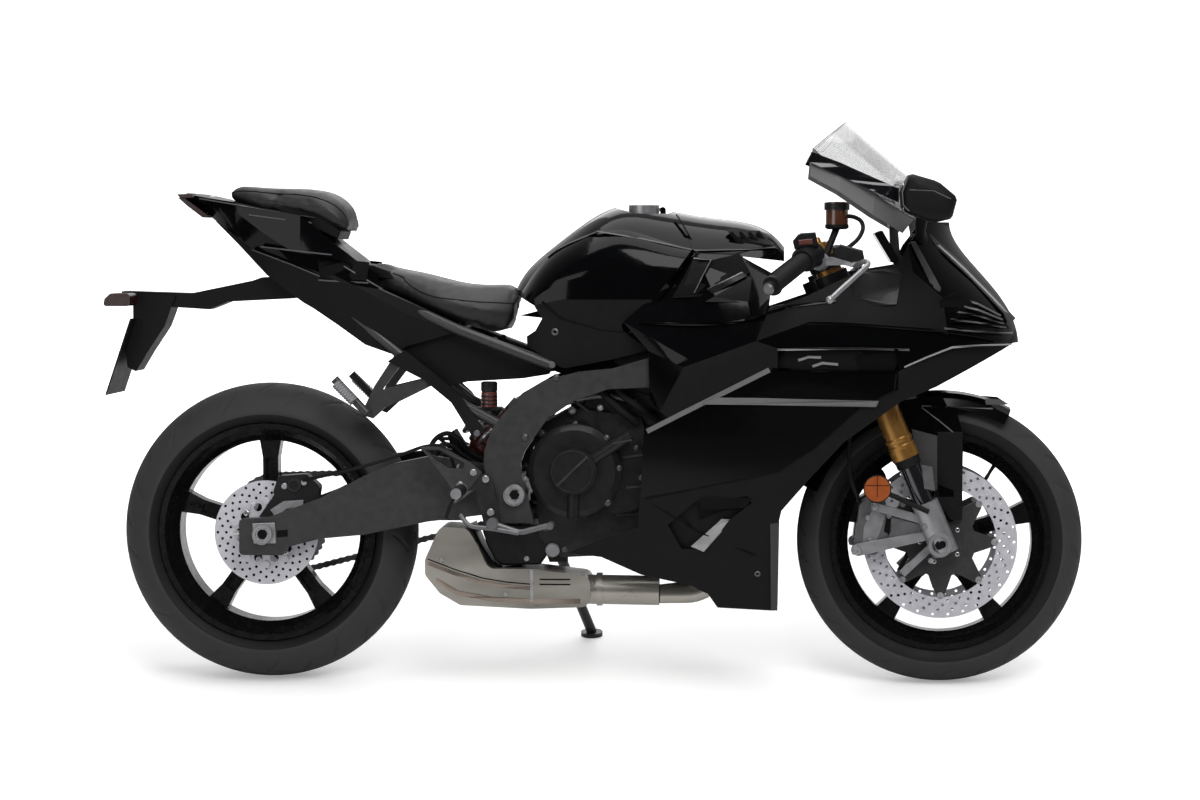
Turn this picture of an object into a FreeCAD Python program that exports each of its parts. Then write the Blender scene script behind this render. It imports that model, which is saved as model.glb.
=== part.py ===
"""Sport bike with a full fairing, parked on its side stand.

The bike is drawn upright: +X forward, +Y to its left, +Z up, floor at z = 0.
Side outlines are shares: u is a share of the wheelbase ahead of the rear axle
and v is a share of the overall height above the floor. At the end each piece
is leaned over to the left, onto the stand, and written out.
"""
import FreeCAD, Part
import math
import os

Vec = FreeCAD.Vector

# Whole bike
wheelbase = 1420.0
overall_height = 1181.0
rear_axle_x = -686.0
lean_deg = 10.0
rake_deg = 22.6
fork_offset = 28.5

# Fits, gaps and walls
running_fit = 0.06
seat_gap = 0.3
panel_gap = 0.8
working_gap = 6.0
overrun = 40.0
corner_share = 0.45

# Rear wheel
rear_tyre_radius = 314.0
rear_tyre_width = 180.0
rear_crown_radius = 95.0
rear_bead_width = 140.0
rear_hub_radius = 44.0
rear_hub_half = 74.0
rear_axle_radius = 14.0

# Front wheel
front_tyre_radius = 300.0
front_tyre_width = 120.0
front_crown_radius = 62.0
front_bead_width = 90.0
front_hub_radius = 38.0
front_hub_half = 52.0
front_axle_radius = 12.5
front_axle_bore = 8.0
front_axle_length = 252.0

# Both wheels
bead_radius = 218.5
flange_radius = 230.0
flange_wall = 5.2
tyre_wall = 9.0
rim_well_radius = 203.0
rim_inner_radius = 193.0
spoke_count = 5
spoke_root_width = 62.0
spoke_waist_width = 33.0
spoke_tip_width = 48.0
spoke_root_depth = 58.0
spoke_tip_depth = 44.0
spoke_groove = 9.0

# Brake discs and calipers
front_disc_radius = 160.0
front_disc_inner = 112.0
front_disc_y = 66.0
disc_thickness = 4.5
carrier_thickness = 6.0
bobbin_count = 10
bobbin_radius = 8.0
rear_disc_radius = 110.0
rear_disc_inner = 68.0
rear_disc_y = -82.0
carrier_window_radius = 9.0

# Chain and sprockets
chain_pitch = 15.875
chain_y = 106.0
rear_teeth = 43
front_teeth = 16
chain_plate_gap = 6.5
chain_plate_thickness = 2.6
chain_plate_height = 14.0
chain_waist_height = 10.0
sprocket_thickness = 5.0
sprocket_shrink = 4.0
front_sprocket_share = (0.418, 0.338)

# Fork, yokes and bars
fork_spacing = 204.0
fork_outer_radius = 27.0
fork_inner_radius = 21.0
fork_top = 664.0
fork_outer_low = 193.0
fork_clamp_top = 92.0
fork_clamp_low = 22.0
fork_clamp_radius = 28.5
axle_boss_radius = 24.0
lower_yoke_at = 420.0
upper_yoke_at = 596.0
yoke_depth = 24.0
lower_yoke_depth = 34.0
stem_radius = 15.0
headstock_radius = 33.0
bar_radius = 11.0
grip_radius = 16.5
clip_height = 28.0

# Lateral half widths of the bodywork
tank_half = 150.0
seat_half = 128.0
tail_half = 118.0
fairing_half = 215.0
fairing_wall = 4.0
screen_wall = 3.0
frame_outer_y = 166.0
frame_wall = 26.0


def at(u, v, y=0):
    """Place a pair of shares in the upright bike."""
    return Vec(rear_axle_x + u * wheelbase, y, v * overall_height)


rear_axle = Vec(rear_axle_x, 0, rear_tyre_radius)
lean = math.radians(lean_deg)
lean_lift = rear_crown_radius * (1 - math.cos(lean))
front_rise = (front_crown_radius - lean_lift) / math.cos(lean)
front_axle = Vec(rear_axle_x + wheelbase, 0, front_tyre_radius - front_crown_radius + front_rise)
rake = math.radians(rake_deg)
fork_up = Vec(-math.sin(rake), 0, math.cos(rake))
fork_ahead = Vec(math.cos(rake), 0, math.sin(rake))


# Shape helpers
def polygon(points):
    """Closed wire through the points."""
    return Part.makePolygon(points + [points[0]])


def rounded(points, radius):
    """Closed wire through the points with every corner turned by an arc."""
    corners = []
    for index, corner in enumerate(points):
        back = points[index - 1] - corner
        ahead = points[(index + 1) % len(points)] - corner
        half = back.getAngle(ahead) / 2
        reach = min(radius / math.tan(half), corner_share * back.Length, corner_share * ahead.Length)
        turn = reach * math.tan(half)
        back.normalize()
        ahead.normalize()
        middle = back + ahead
        middle.normalize()
        middle.multiply(turn / math.sin(half) - turn)
        corners.append((corner + back * reach, corner + middle, corner + ahead * reach))
    edges = []
    for index, (start, middle, end) in enumerate(corners):
        edges.append(Part.Arc(start, middle, end).toShape())
        edges.append(Part.makeLine(end, corners[(index + 1) % len(corners)][0]))
    return Part.Wire(edges)


def slab(shares, low_y, high_y, radius=0):
    """Side outline given in shares, pushed from one y to another."""
    points = [at(u, v, low_y) for u, v in shares]
    wire = rounded(points, radius) if radius else polygon(points)
    return Part.Face(wire).extrude(Vec(0, high_y - low_y, 0))


def rod(start, end, radius):
    """Round bar between two points."""
    return Part.makeCylinder(radius, (end - start).Length, start, end - start)


def cone(start, end, start_radius, end_radius):
    """Tapered round bar between two points."""
    return Part.makeCone(start_radius, end_radius, (end - start).Length, start, end - start)


def pipe(start, end, outer, inner):
    """Round tube between two points."""
    return rod(start, end, outer).cut(rod(start, end, inner))


def cross_rod(centre, low_y, high_y, radius):
    """Round bar across the bike."""
    return rod(Vec(centre.x, low_y, centre.z), Vec(centre.x, high_y, centre.z), radius)


def bent(points, radius, bend):
    """Round bar along a path with arcs at its bends."""
    edges = []
    start = points[0]
    for index in range(1, len(points) - 1):
        corner = points[index]
        back = points[index - 1] - corner
        ahead = points[index + 1] - corner
        half = back.getAngle(ahead) / 2
        reach = min(bend / math.tan(half), corner_share * back.Length, corner_share * ahead.Length)
        turn = reach * math.tan(half)
        back.normalize()
        ahead.normalize()
        middle = back + ahead
        middle.normalize()
        middle.multiply(turn / math.sin(half) - turn)
        edges.append(Part.makeLine(start, corner + back * reach))
        edges.append(Part.Arc(corner + back * reach, corner + middle, corner + ahead * reach).toShape())
        start = corner + ahead * reach
    edges.append(Part.makeLine(start, points[-1]))
    ring = Part.Wire(Part.makeCircle(radius, points[0], points[1] - points[0]))
    return Part.Wire(edges).makePipeShell([ring], True, False)


def box(low, high):
    """Box between two opposite corners."""
    size = high - low
    return Part.makeBox(size.x, size.y, size.z, low)


def bar(start, end, width, depth, side):
    """Square bar between two points; width lies along the side vector."""
    along = end - start
    across = Vec(side)
    across.normalize()
    up = along.cross(across)
    up.normalize()
    corner = start - across * (width / 2) - up * (depth / 2)
    points = [corner, corner + across * width, corner + across * width + up * depth, corner + up * depth]
    return Part.Face(polygon(points)).extrude(along)


def mirrored(shape):
    """The same piece on the other side."""
    return shape.mirror(Vec(0, 0, 0), Vec(0, 1, 0))


def pair(shape):
    """A piece and its mirror image."""
    return [shape, mirrored(shape)]


def trace(points):
    """Edge through two, three or more points."""
    if len(points) == 2:
        return Part.makeLine(points[0], points[1])
    if len(points) == 3:
        return Part.Arc(points[0], points[1], points[2]).toShape()
    curve = Part.BSplineCurve()
    curve.interpolate(points)
    return curve.toShape()


def ring(x, runs):
    """Cross-section at one x from the right-hand half, mirrored to the left."""
    edges = []
    for run in runs:
        edges.append(trace([Vec(x, -y, z) for y, z in run]))
    first = runs[0][0]
    last = runs[-1][-1]
    if last[0] > 0:
        edges.append(Part.makeLine(Vec(x, -last[0], last[1]), Vec(x, last[0], last[1])))
    for run in reversed(runs):
        edges.append(trace([Vec(x, y, z) for y, z in reversed(run)]))
    if first[0] > 0:
        edges.append(Part.makeLine(Vec(x, first[0], first[1]), Vec(x, -first[0], first[1])))
    return Part.Wire(edges)


def loft(wires, straight=False):
    """Solid through a row of closed wires."""
    return Part.makeLoft(wires, True, straight)


def solids(shapes):
    """All solids of a list of shapes as one compound."""
    found = []
    for shape in shapes:
        found.extend(shape.Solids)
    return Part.makeCompound(found)


def fused(shapes):
    """One shape out of overlapping ones."""
    joined = shapes[0]
    for shape in shapes[1:]:
        joined = joined.fuse(shape)
    return joined.removeSplitter()


def fork(along, ahead=0, y=0):
    """Point beside the front axle, measured up the fork leg and ahead of it."""
    point = front_axle + fork_up * along + fork_ahead * ahead
    return Vec(point.x, y, point.z)


def turned(shape, centre, count):
    """Copies of a piece, evenly spaced round a cross axis."""
    copies = []
    for index in range(count):
        copy = shape.copy()
        copy.rotate(centre, Vec(0, 1, 0), index * 360.0 / count)
        copies.append(copy)
    return copies


def revolved(profile, centre):
    """Profile of (y, radius) pairs spun round a cross axis through the centre."""
    points = [Vec(centre.x, centre.y + y, centre.z + r) for y, r in profile]
    return Part.Face(polygon(points)).revolve(centre, Vec(0, 1, 0), 360)


# Wheels
crown_edge_share = 0.94
crown_step_shares = (0.34, 0.67)
tyre_bulge_share = 0.45
tyre_inner_share = 0.62


def tyre(centre, radius, width, crown, bead_width):
    """Tyre of straight runs: round crown with a corner where it stands when leaned, full sidewalls, open inside."""
    edge_y = width / 2 * crown_edge_share
    crown_centre = radius - crown
    edge_turn = math.asin(edge_y / crown)
    turns = [0, lean] + [lean + (edge_turn - lean) * share for share in crown_step_shares] + [edge_turn]
    outer = [(crown * math.sin(turn), crown_centre + crown * math.cos(turn)) for turn in turns]
    edge_r = outer[-1][1]
    bead_y = bead_width / 2
    outer.append((width / 2, flange_radius + (edge_r - flange_radius) * tyre_bulge_share))
    outer.append((bead_y, flange_radius + seat_gap))
    outer.append((bead_y, bead_radius))
    outer.append((bead_y - tyre_wall, bead_radius))
    outer.append(((bead_y - tyre_wall) * tyre_inner_share, radius - tyre_wall * 2))
    profile = outer + [(-y, r) for y, r in reversed(outer[1:])]
    points = [Vec(centre.x, centre.y + y, centre.z + r) for y, r in profile]
    return Part.Face(polygon(points)).revolve(centre, Vec(0, 1, 0), 360)


rim_hump_share = 0.72
rim_well_share = 0.48
spoke_root_share = 0.75
spoke_waist_share = 0.3
spoke_swell_share = 0.72
spoke_waist_depth = 40.0
spoke_groove_share = 0.28


def rim(centre, bead_width, hub_radius, hub_half, bore, first_angle):
    """Cast wheel: dropped barrel, five grooved spokes and a bored hub."""
    flange_y = bead_width / 2 + seat_gap
    outer_y = flange_y + flange_wall
    seat_r = bead_radius - seat_gap
    profile = [
        (-outer_y, flange_radius), (-flange_y, flange_radius), (-flange_y, seat_r),
        (-flange_y * rim_hump_share, seat_r), (-flange_y * rim_well_share, rim_well_radius),
        (flange_y * rim_well_share, rim_well_radius), (flange_y * rim_hump_share, seat_r),
        (flange_y, seat_r), (flange_y, flange_radius), (outer_y, flange_radius),
        (outer_y, seat_r), (flange_y * rim_hump_share, (seat_r + rim_inner_radius) / 2),
        (flange_y * rim_well_share, rim_inner_radius), (-flange_y * rim_well_share, rim_inner_radius),
        (-flange_y * rim_hump_share, (seat_r + rim_inner_radius) / 2), (-outer_y, seat_r),
    ]
    barrel = revolved(profile, centre)
    hub = cross_rod(centre, -hub_half, hub_half, hub_radius)
    reach = (rim_inner_radius + rim_well_radius) / 2
    stations = [
        (hub_radius * spoke_root_share, spoke_root_width, spoke_root_depth),
        (hub_radius + (reach - hub_radius) * spoke_waist_share, spoke_waist_width, spoke_waist_depth),
        (hub_radius + (reach - hub_radius) * spoke_swell_share, spoke_waist_width, spoke_tip_depth),
        (reach, spoke_tip_width, spoke_tip_depth),
    ]
    wires = []
    groove_wires = []
    for distance, width, depth in stations:
        z = centre.z + distance
        corners = [
            (-width / 2, -depth / 2), (width / 2, -depth / 2), (width / 2, depth / 2),
            (-width / 2, depth / 2),
        ]
        wires.append(polygon([Vec(centre.x + x, centre.y + y, z) for x, y in corners]))
        half = width * spoke_groove_share
        low = depth / 2 - spoke_groove
        corners = [(-half, low), (half, low), (half, depth), (-half, depth)]
        groove_wires.append(polygon([Vec(centre.x + x, centre.y + y, z) for x, y in corners]))
    spoke = loft(wires, True)
    groove = loft(groove_wires[1:3], True)
    spoke = spoke.cut(groove).cut(mirrored(groove))
    spoke.rotate(centre, Vec(0, 1, 0), first_angle)
    wheel = fused([barrel, hub] + turned(spoke, centre, spoke_count))
    return wheel.cut(cross_rod(centre, -hub_half - overrun, hub_half + overrun, bore))


def disc_ring(centre, outer, inner, y, thickness):
    """Flat ring on a cross axis."""
    whole = cross_rod(centre, y - thickness / 2, y + thickness / 2, outer)
    return whole.cut(cross_rod(centre, y - thickness, y + thickness, inner))


carrier_wall = 14.0


def floating_disc(centre, y, outer, inner, hub_half, hub_radius, bore):
    """Brake disc with its carrier star, held together by bobbins."""
    side = 1 if y > 0 else -1
    carrier = disc_ring(centre, inner - seat_gap, bore + carrier_wall, y, carrier_thickness)
    window_at = (inner + hub_radius) / 2
    window = cross_rod(
        centre + Vec(window_at, 0, 0), y - overrun / 4, y + overrun / 4, carrier_window_radius,
    )
    for copy in turned(window, centre, bobbin_count):
        carrier = carrier.cut(copy)
    band = disc_ring(centre, outer, inner, y, disc_thickness)
    pin = cross_rod(centre + Vec(inner, 0, 0), y - carrier_thickness, y + carrier_thickness, bobbin_radius)
    pins = turned(pin, centre, bobbin_count)
    for copy in pins:
        copy.rotate(centre, Vec(0, 1, 0), 180.0 / bobbin_count)
    return fused([carrier, band] + pins)


front_spoke_deg = 0.0


def front_rim():
    return [
        rim(
            front_axle, front_bead_width, front_hub_radius, front_hub_half,
            front_axle_radius + running_fit, front_spoke_deg,
        )
    ]


rear_spoke_deg = 0.0


def rear_rim():
    return [
        rim(
            rear_axle, rear_bead_width, rear_hub_radius, rear_hub_half, rear_axle_radius + running_fit,
            rear_spoke_deg,
        )
    ]


def front_tyre():
    return [tyre(front_axle, front_tyre_radius, front_tyre_width, front_crown_radius, front_bead_width)]


def rear_tyre():
    return [tyre(rear_axle, rear_tyre_radius, rear_tyre_width, rear_crown_radius, rear_bead_width)]


def front_discs():
    """Two floating discs, each bolted on the end of the hub."""
    found = []
    for side in (-1, 1):
        y = side * front_disc_y
        disc = floating_disc(
            front_axle, y, front_disc_radius, front_disc_inner, front_hub_half, front_hub_radius,
            front_axle_radius,
        )
        inner_face = front_disc_y - carrier_thickness / 2
        boss = cross_rod(
            front_axle, side * (front_hub_half + seat_gap), side * inner_face, front_hub_radius,
        )
        bore = cross_rod(
            front_axle, -front_disc_y - overrun, front_disc_y + overrun,
            front_axle_radius + carrier_wall / 2,
        )
        found.append(fused([disc, boss]).cut(bore))
    return found


rear_carrier_radius = 62.0
sprocket_window_at = 80.0
sprocket_window_radius = 11.0


def rear_disc():
    """Rear disc on the right, chain sprocket on the left."""
    disc = floating_disc(
        rear_axle, rear_disc_y, rear_disc_radius, rear_disc_inner, rear_hub_half, rear_hub_radius,
        rear_axle_radius,
    )
    inner_face = rear_disc_y + carrier_thickness / 2
    boss = cross_rod(rear_axle, inner_face, -rear_hub_half - seat_gap, rear_hub_radius)
    bore = cross_rod(rear_axle, -overrun * 4, overrun * 4, rear_axle_radius + carrier_wall / 2)
    sprocket = toothed_wheel(rear_axle, rear_teeth)
    carrier = cross_rod(
        rear_axle, rear_hub_half + seat_gap, chain_y + sprocket_thickness / 2, rear_carrier_radius,
    )
    for copy in turned(
        cross_rod(
            rear_axle + Vec(sprocket_window_at, 0, 0), chain_y - overrun / 2, chain_y + overrun / 2,
            sprocket_window_radius,
        ),
        rear_axle, 5,
    ):
        sprocket = sprocket.cut(copy)
    return [fused([disc, boss]).cut(bore), fused([sprocket, carrier]).cut(bore)]


def pitch_radius(teeth):
    """Radius of the chain's pins on a sprocket."""
    return chain_pitch / (2 * math.sin(math.pi / teeth))


def toothed_wheel(centre, teeth):
    """Sprocket whose teeth stand between the chain's rollers."""
    outer = pitch_radius(teeth) - sprocket_shrink
    root = outer - chain_pitch / 4
    points = []
    for index in range(teeth):
        for part_share, radius in ((0.0, root), (0.35, outer), (0.65, outer)):
            angle = 2 * math.pi * (index + part_share) / teeth
            points.append(
                Vec(
                    centre.x + radius * math.cos(angle), chain_y - sprocket_thickness / 2,
                    centre.z + radius * math.sin(angle),
                )
            )
    return Part.Face(polygon(points)).extrude(Vec(0, sprocket_thickness, 0))


# Chain
front_sprocket = at(front_sprocket_share[0], front_sprocket_share[1])
chain_band_height = 6.4


def chain_walk():
    """Half-pitch points round both sprockets, each with its outward direction."""
    big = pitch_radius(rear_teeth)
    small = pitch_radius(front_teeth)
    across = front_sprocket - rear_axle
    distance = across.Length
    slope = math.atan2(across.z, across.x)
    wrap = math.acos((big - small) / distance)
    run = math.sqrt(distance ** 2 - (big - small) ** 2)
    total = 2 * run + 2 * big * (math.pi - wrap) + 2 * small * wrap
    count = 2 * round(total / (2 * chain_pitch))
    points = []
    for index in range(2 * count):
        left = total * index / (2 * count)
        if left < run:
            angle = slope + wrap
            foot = rear_axle + Vec(math.cos(angle), 0, math.sin(angle)) * big
            along = Vec(math.sin(angle), 0, -math.cos(angle))
            points.append((foot + along * left, angle))
            continue
        left -= run
        if left < 2 * small * wrap:
            angle = slope + wrap - left / small
            points.append((front_sprocket + Vec(math.cos(angle), 0, math.sin(angle)) * small, angle))
            continue
        left -= 2 * small * wrap
        if left < run:
            angle = slope - wrap
            foot = front_sprocket + Vec(math.cos(angle), 0, math.sin(angle)) * small
            along = Vec(math.sin(angle), 0, -math.cos(angle))
            points.append((foot + along * left, angle))
            continue
        left -= run
        angle = slope - wrap - left / big
        points.append((rear_axle + Vec(math.cos(angle), 0, math.sin(angle)) * big, angle))
    return points


def chain_band(walk, low_y, high_y, pin_height, waist_height):
    """Closed band along the chain, wide at the pins and narrow between them."""
    wires = []
    for side in (1, -1):
        loop = []
        for index, (point, angle) in enumerate(walk):
            height = waist_height if index % 2 else pin_height
            offset = Vec(math.cos(angle), 0, math.sin(angle)) * (side * height / 2)
            loop.append(Vec(point.x + offset.x, low_y, point.z + offset.z))
        wires.append(polygon(loop))
    return Part.makeFace(wires, "Part::FaceMakerBullseye").extrude(Vec(0, high_y - low_y, 0))


def chain():
    """Endless roller chain: two rows of waisted side plates over a row of rollers."""
    walk = chain_walk()
    half = chain_plate_gap / 2
    outer = half + chain_plate_thickness
    rollers = chain_band(walk[::2], chain_y - half, chain_y + half, chain_band_height, chain_band_height)
    right = chain_band(walk, chain_y - outer, chain_y - half, chain_plate_height, chain_waist_height)
    left = chain_band(walk, chain_y + half, chain_y + outer, chain_plate_height, chain_waist_height)
    return [rollers.fuse([right, left])]


# Fork and steering
fork_y = fork_spacing / 2
fork_overlap = 70.0
seal_height = 22.0
seal_wall = 2.5
cap_height = 9.0
yoke_wall = 9.0
yoke_bridge = 34.0
caliper_lug = 15.0
cap_height = 9.0


def fork_outers():
    """Upper fork tubes with a seal collar and a top cap."""
    found = []
    for side in (-1, 1):
        y = side * fork_y
        tube = rod(fork(fork_outer_low, 0, y), fork(fork_top, 0, y), fork_outer_radius)
        collar = rod(
            fork(fork_outer_low, 0, y), fork(fork_outer_low + seal_height, 0, y),
            fork_outer_radius + seal_wall,
        )
        cap = rod(fork(fork_top, 0, y), fork(fork_top + cap_height, 0, y), fork_inner_radius)
        bore = rod(
            fork(fork_outer_low - overrun, 0, y), fork(fork_outer_low + fork_overlap + seat_gap, 0, y),
            fork_inner_radius + running_fit,
        )
        found.append(fused([tube, collar, cap]).cut(bore))
    return found


fork_seat_share = 0.45


def fork_inners():
    """Sliding lower tubes."""
    low = fork_clamp_top - fork_clamp_top * fork_seat_share
    return [
        rod(
            fork(low, 0, side * fork_y), fork(fork_outer_low + fork_overlap, 0, side * fork_y),
            fork_inner_radius,
        )
        for side in (-1, 1)
    ]


axle_boss_half = 20.0
caliper_lug_y = 88.0
caliper_lug_reach = 100.0
caliper_lug_shares = ((0.75, 0.78), (0.1, -0.32))


def fork_bottoms():
    """Axle clamps with their caliper lugs, joined by the front axle."""
    shapes = [cross_rod(front_axle, -front_axle_length / 2, front_axle_length / 2, front_axle_radius)]
    for side in (-1, 1):
        y = side * fork_y
        shapes.append(rod(fork(-fork_clamp_low, 0, y), fork(fork_clamp_top, 0, y), fork_clamp_radius))
        shapes.append(
            cross_rod(
                front_axle, side * (fork_y - axle_boss_half), side * (fork_y + axle_boss_half),
                axle_boss_radius,
            )
        )
        for lug_share in caliper_lug_shares:
            start = fork(fork_clamp_top * lug_share[0], 0, side * caliper_lug_y)
            end = fork(fork_clamp_top * lug_share[1], -caliper_lug_reach, side * caliper_lug_y)
            shapes.append(bar(start, end, caliper_lug, caliper_lug, Vec(0, 1, 0)))
    body = fused(shapes)
    for side in (-1, 1):
        y = side * fork_y
        low = fork_clamp_top * (1 - fork_seat_share) - seat_gap
        body = body.cut(
            rod(fork(low, 0, y), fork(fork_clamp_top + overrun, 0, y), fork_inner_radius + running_fit)
        )
    for caliper in front_calipers():
        body = body.cut(caliper).cut(caliper.translated(Vec(seat_gap, 0, 0)))
    bore = cross_rod(front_axle, -front_axle_length, front_axle_length, front_axle_bore)
    return [body.cut(bore)]


yoke_web_share = 0.8


def yoke(along, depth, radius):
    """One fork bridge: two leg clamps and a stem eye on a web."""
    shapes = []
    eye = -fork_offset
    low = along - depth / 2
    high = along + depth / 2
    for side in (-1, 1):
        shapes.append(rod(fork(low, 0, side * fork_y), fork(high, 0, side * fork_y), radius + yoke_wall))
        shapes.append(
            bar(
                fork(along, -yoke_wall / 2, side * fork_y), fork(along, eye, 0), depth * yoke_web_share,
                yoke_bridge, fork_up,
            )
        )
    shapes.append(rod(fork(low, eye), fork(high, eye), headstock_radius))
    body = fused(shapes)
    for side in (-1, 1):
        body = body.cut(
            rod(
                fork(low - overrun, 0, side * fork_y), fork(high + overrun, 0, side * fork_y),
                radius + running_fit,
            )
        )
    return body


stem_nut_radius = 17.0
stem_nut_height = 10.0


def yokes():
    """Upper and lower yoke on their stem."""
    eye = -fork_offset
    upper = yoke(upper_yoke_at, yoke_depth, fork_outer_radius)
    lower = yoke(lower_yoke_at, lower_yoke_depth, fork_outer_radius)
    stem = rod(fork(lower_yoke_at, eye), fork(upper_yoke_at + yoke_depth / 2, eye), stem_radius)
    nut = rod(
        fork(upper_yoke_at + yoke_depth / 2, eye),
        fork(upper_yoke_at + yoke_depth / 2 + stem_nut_height, eye), stem_nut_radius,
    )
    return [fused([upper, lower, stem, nut])]


grip_inner_share = (0.801, 0.757)
grip_outer_share = (0.750, 0.709)
grip_inner_y = 215.0
grip_outer_y = 345.0
clip_at = 632.0
clip_wall = 8.0
switch_radius = 23.0
switch_length = 34.0
bar_end_radius = 13.0
bar_end_length = 14.0


def bar_points(side):
    """Root, grip start and grip end of one handlebar."""
    inner = at(grip_inner_share[0], grip_inner_share[1], side * grip_inner_y)
    outer = at(grip_outer_share[0], grip_outer_share[1], side * grip_outer_y)
    root = fork(clip_at, 0, side * (fork_y + fork_outer_radius + clip_wall / 2))
    return root, inner, outer


def handlebars():
    """Clip-on bars: leg clamp, bent bar, switch housing, grip and end weight."""
    found = []
    for side in (-1, 1):
        root, inner, outer = bar_points(side)
        along = outer - inner
        along.normalize()
        clamp = rod(
            fork(clip_at - clip_height / 2, 0, side * fork_y),
            fork(clip_at + clip_height / 2, 0, side * fork_y), fork_outer_radius + clip_wall,
        )
        bore = rod(
            fork(clip_at - clip_height, 0, side * fork_y),
            fork(clip_at + clip_height, 0, side * fork_y), fork_outer_radius + running_fit,
        )
        tube = bent([root, inner, outer], bar_radius, clip_height)
        grip = rod(inner, outer, grip_radius)
        switch = rod(inner - along * switch_length, inner, switch_radius)
        weight = rod(outer, outer + along * bar_end_length, bar_end_radius)
        found.append(fused([clamp, tube, grip, switch, weight]).cut(bore))
    return found


lever_pivot_share = (0.868, 0.752)
lever_bow_share = (0.893, 0.750)
lever_tip_share = (0.832, 0.686)
lever_pivot_y = 190.0
lever_bow_y = 228.0
lever_tip_y = 325.0
lever_radius = 5.5
lever_ball = 8.0
lever_bend = 22.0
pump_radius = 13.0
pump_clip = 16.0
pump_share = 0.35


def levers():
    """Hand levers, each on a clamp round its bar."""
    found = []
    for side in (-1, 1):
        root, inner, outer = bar_points(side)
        along = inner - root
        hold = root + along * pump_share
        along.normalize()
        pivot = at(lever_pivot_share[0], lever_pivot_share[1], side * lever_pivot_y)
        bow = at(lever_bow_share[0], lever_bow_share[1], side * lever_bow_y)
        tip = at(lever_tip_share[0], lever_tip_share[1], side * lever_tip_y)
        clamp = rod(hold - along * (pump_clip / 2), hold + along * (pump_clip / 2), bar_radius + clip_wall)
        arm = bar(hold, pivot, pump_clip, pump_clip, fork_up)
        pump = rod(pivot - along * pump_clip, pivot + along * pump_clip, pump_radius)
        blade = bent([pivot, bow, tip], lever_radius, lever_bend)
        ball = Part.makeSphere(lever_ball, tip)
        bore = rod(root - along * overrun, inner, bar_radius + seat_gap)
        found.append(fused([clamp, arm, pump, blade, ball]).cut(bore))
    return found


reservoir_share = (0.845, 0.812)
reservoir_y = 112.0
reservoir_radius = 23.0
reservoir_cup = 34.0
reservoir_cap = 16.0
reservoir_lip = 3.0
reservoir_stalk = 6.0
reservoir_hold_share = 0.12


def brake_reservoir():
    """Brake fluid cup with its cap, on a stalk over the right bar."""
    foot = at(reservoir_share[0], reservoir_share[1], -reservoir_y)
    cup = rod(foot, foot + Vec(0, 0, reservoir_cup), reservoir_radius)
    cap = rod(
        foot + Vec(0, 0, reservoir_cup), foot + Vec(0, 0, reservoir_cup + reservoir_cap),
        reservoir_radius + reservoir_lip,
    )
    root, inner, outer = bar_points(-1)
    hold = root + (inner - root) * reservoir_hold_share
    stalk = rod(hold, foot, reservoir_stalk)
    return [fused([cup, cap, stalk]).cut(handlebars()[0])]


caliper_outline_shares = (
    (0.873, 0.250), (0.880, 0.322), (0.900, 0.338), (0.918, 0.334), (0.922, 0.262), (0.905, 0.232),
    (0.882, 0.232),
)
caliper_inner_y = 38.0
caliper_outer_y = 98.0
caliper_slot = 15.0


def front_calipers():
    """Opposed-piston calipers straddling the front discs."""
    found = []
    for side in (-1, 1):
        body = slab(caliper_outline_shares, side * caliper_inner_y, side * caliper_outer_y, caliper_lug)
        disc = cross_rod(
            front_axle, side * (front_disc_y - caliper_slot / 2),
            side * (front_disc_y + caliper_slot / 2), front_disc_radius + working_gap,
        )
        found.append(body.cut(disc))
    return found


fender_gap = 12.0
fender_wall = 3.0
fender_half = 70.0
fender_front_deg = 62.0
fender_rear_deg = 158.0
fender_skirt_shares = ((0.915, 0.500), (1.000, 0.515), (1.032, 0.440), (0.990, 0.418), (0.930, 0.440))
guard_shares = (
    (0.986, 0.500), (1.022, 0.490), (1.032, 0.440), (1.030, 0.300), (1.014, 0.290), (1.000, 0.300),
    (0.990, 0.418),
)
guard_inner_y = 77.5
guard_outer_y = 81.0
fender_profile_shares = ((1.0, 0.90), (0.93, 0.965), (0.62, 1.0), (0.0, 1.012))


def front_fender():
    """Arched mudguard with a skirt beside each fork leg."""
    radius = front_tyre_radius + fender_gap
    outer = [(share_y * fender_half, share_r * radius) for share_y, share_r in fender_profile_shares]
    inner = [(max(y - fender_wall, 0), r - fender_wall) for y, r in outer]
    right = [(-y, r) for y, r in outer[:-1]]
    inner_right = [(-y, r) for y, r in reversed(inner[:-1])]
    profile = right + list(reversed(outer)) + inner + inner_right
    points = [Vec(front_axle.x, y, front_axle.z + r) for y, r in profile]
    arch = Part.Face(polygon(points)).revolve(front_axle, Vec(0, 1, 0), fender_front_deg - fender_rear_deg)
    arch.rotate(front_axle, Vec(0, 1, 0), 90 - fender_front_deg)
    skirts = []
    for side in (-1, 1):
        outer_y = fork_y - fork_outer_radius - seat_gap
        skirts.append(
            slab(fender_skirt_shares, side * (fender_half - fender_wall), side * outer_y, fender_gap)
        )
        guard = slab(guard_shares, side * (outer_y - fender_wall), side * guard_outer_y, fender_wall)
        sweep = cross_rod(front_axle, 0, side * guard_inner_y, front_disc_radius + fork_inner_radius)
        skirts.append(guard.cut(sweep))
    return [fused([arch] + skirts)]


reflector_share = (0.905, 0.352)
reflector_radius = 27.0
reflector_thickness = 9.0
reflector_y = 130.0
reflector_arm = 3.0
reflector_root_share = 0.8


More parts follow.
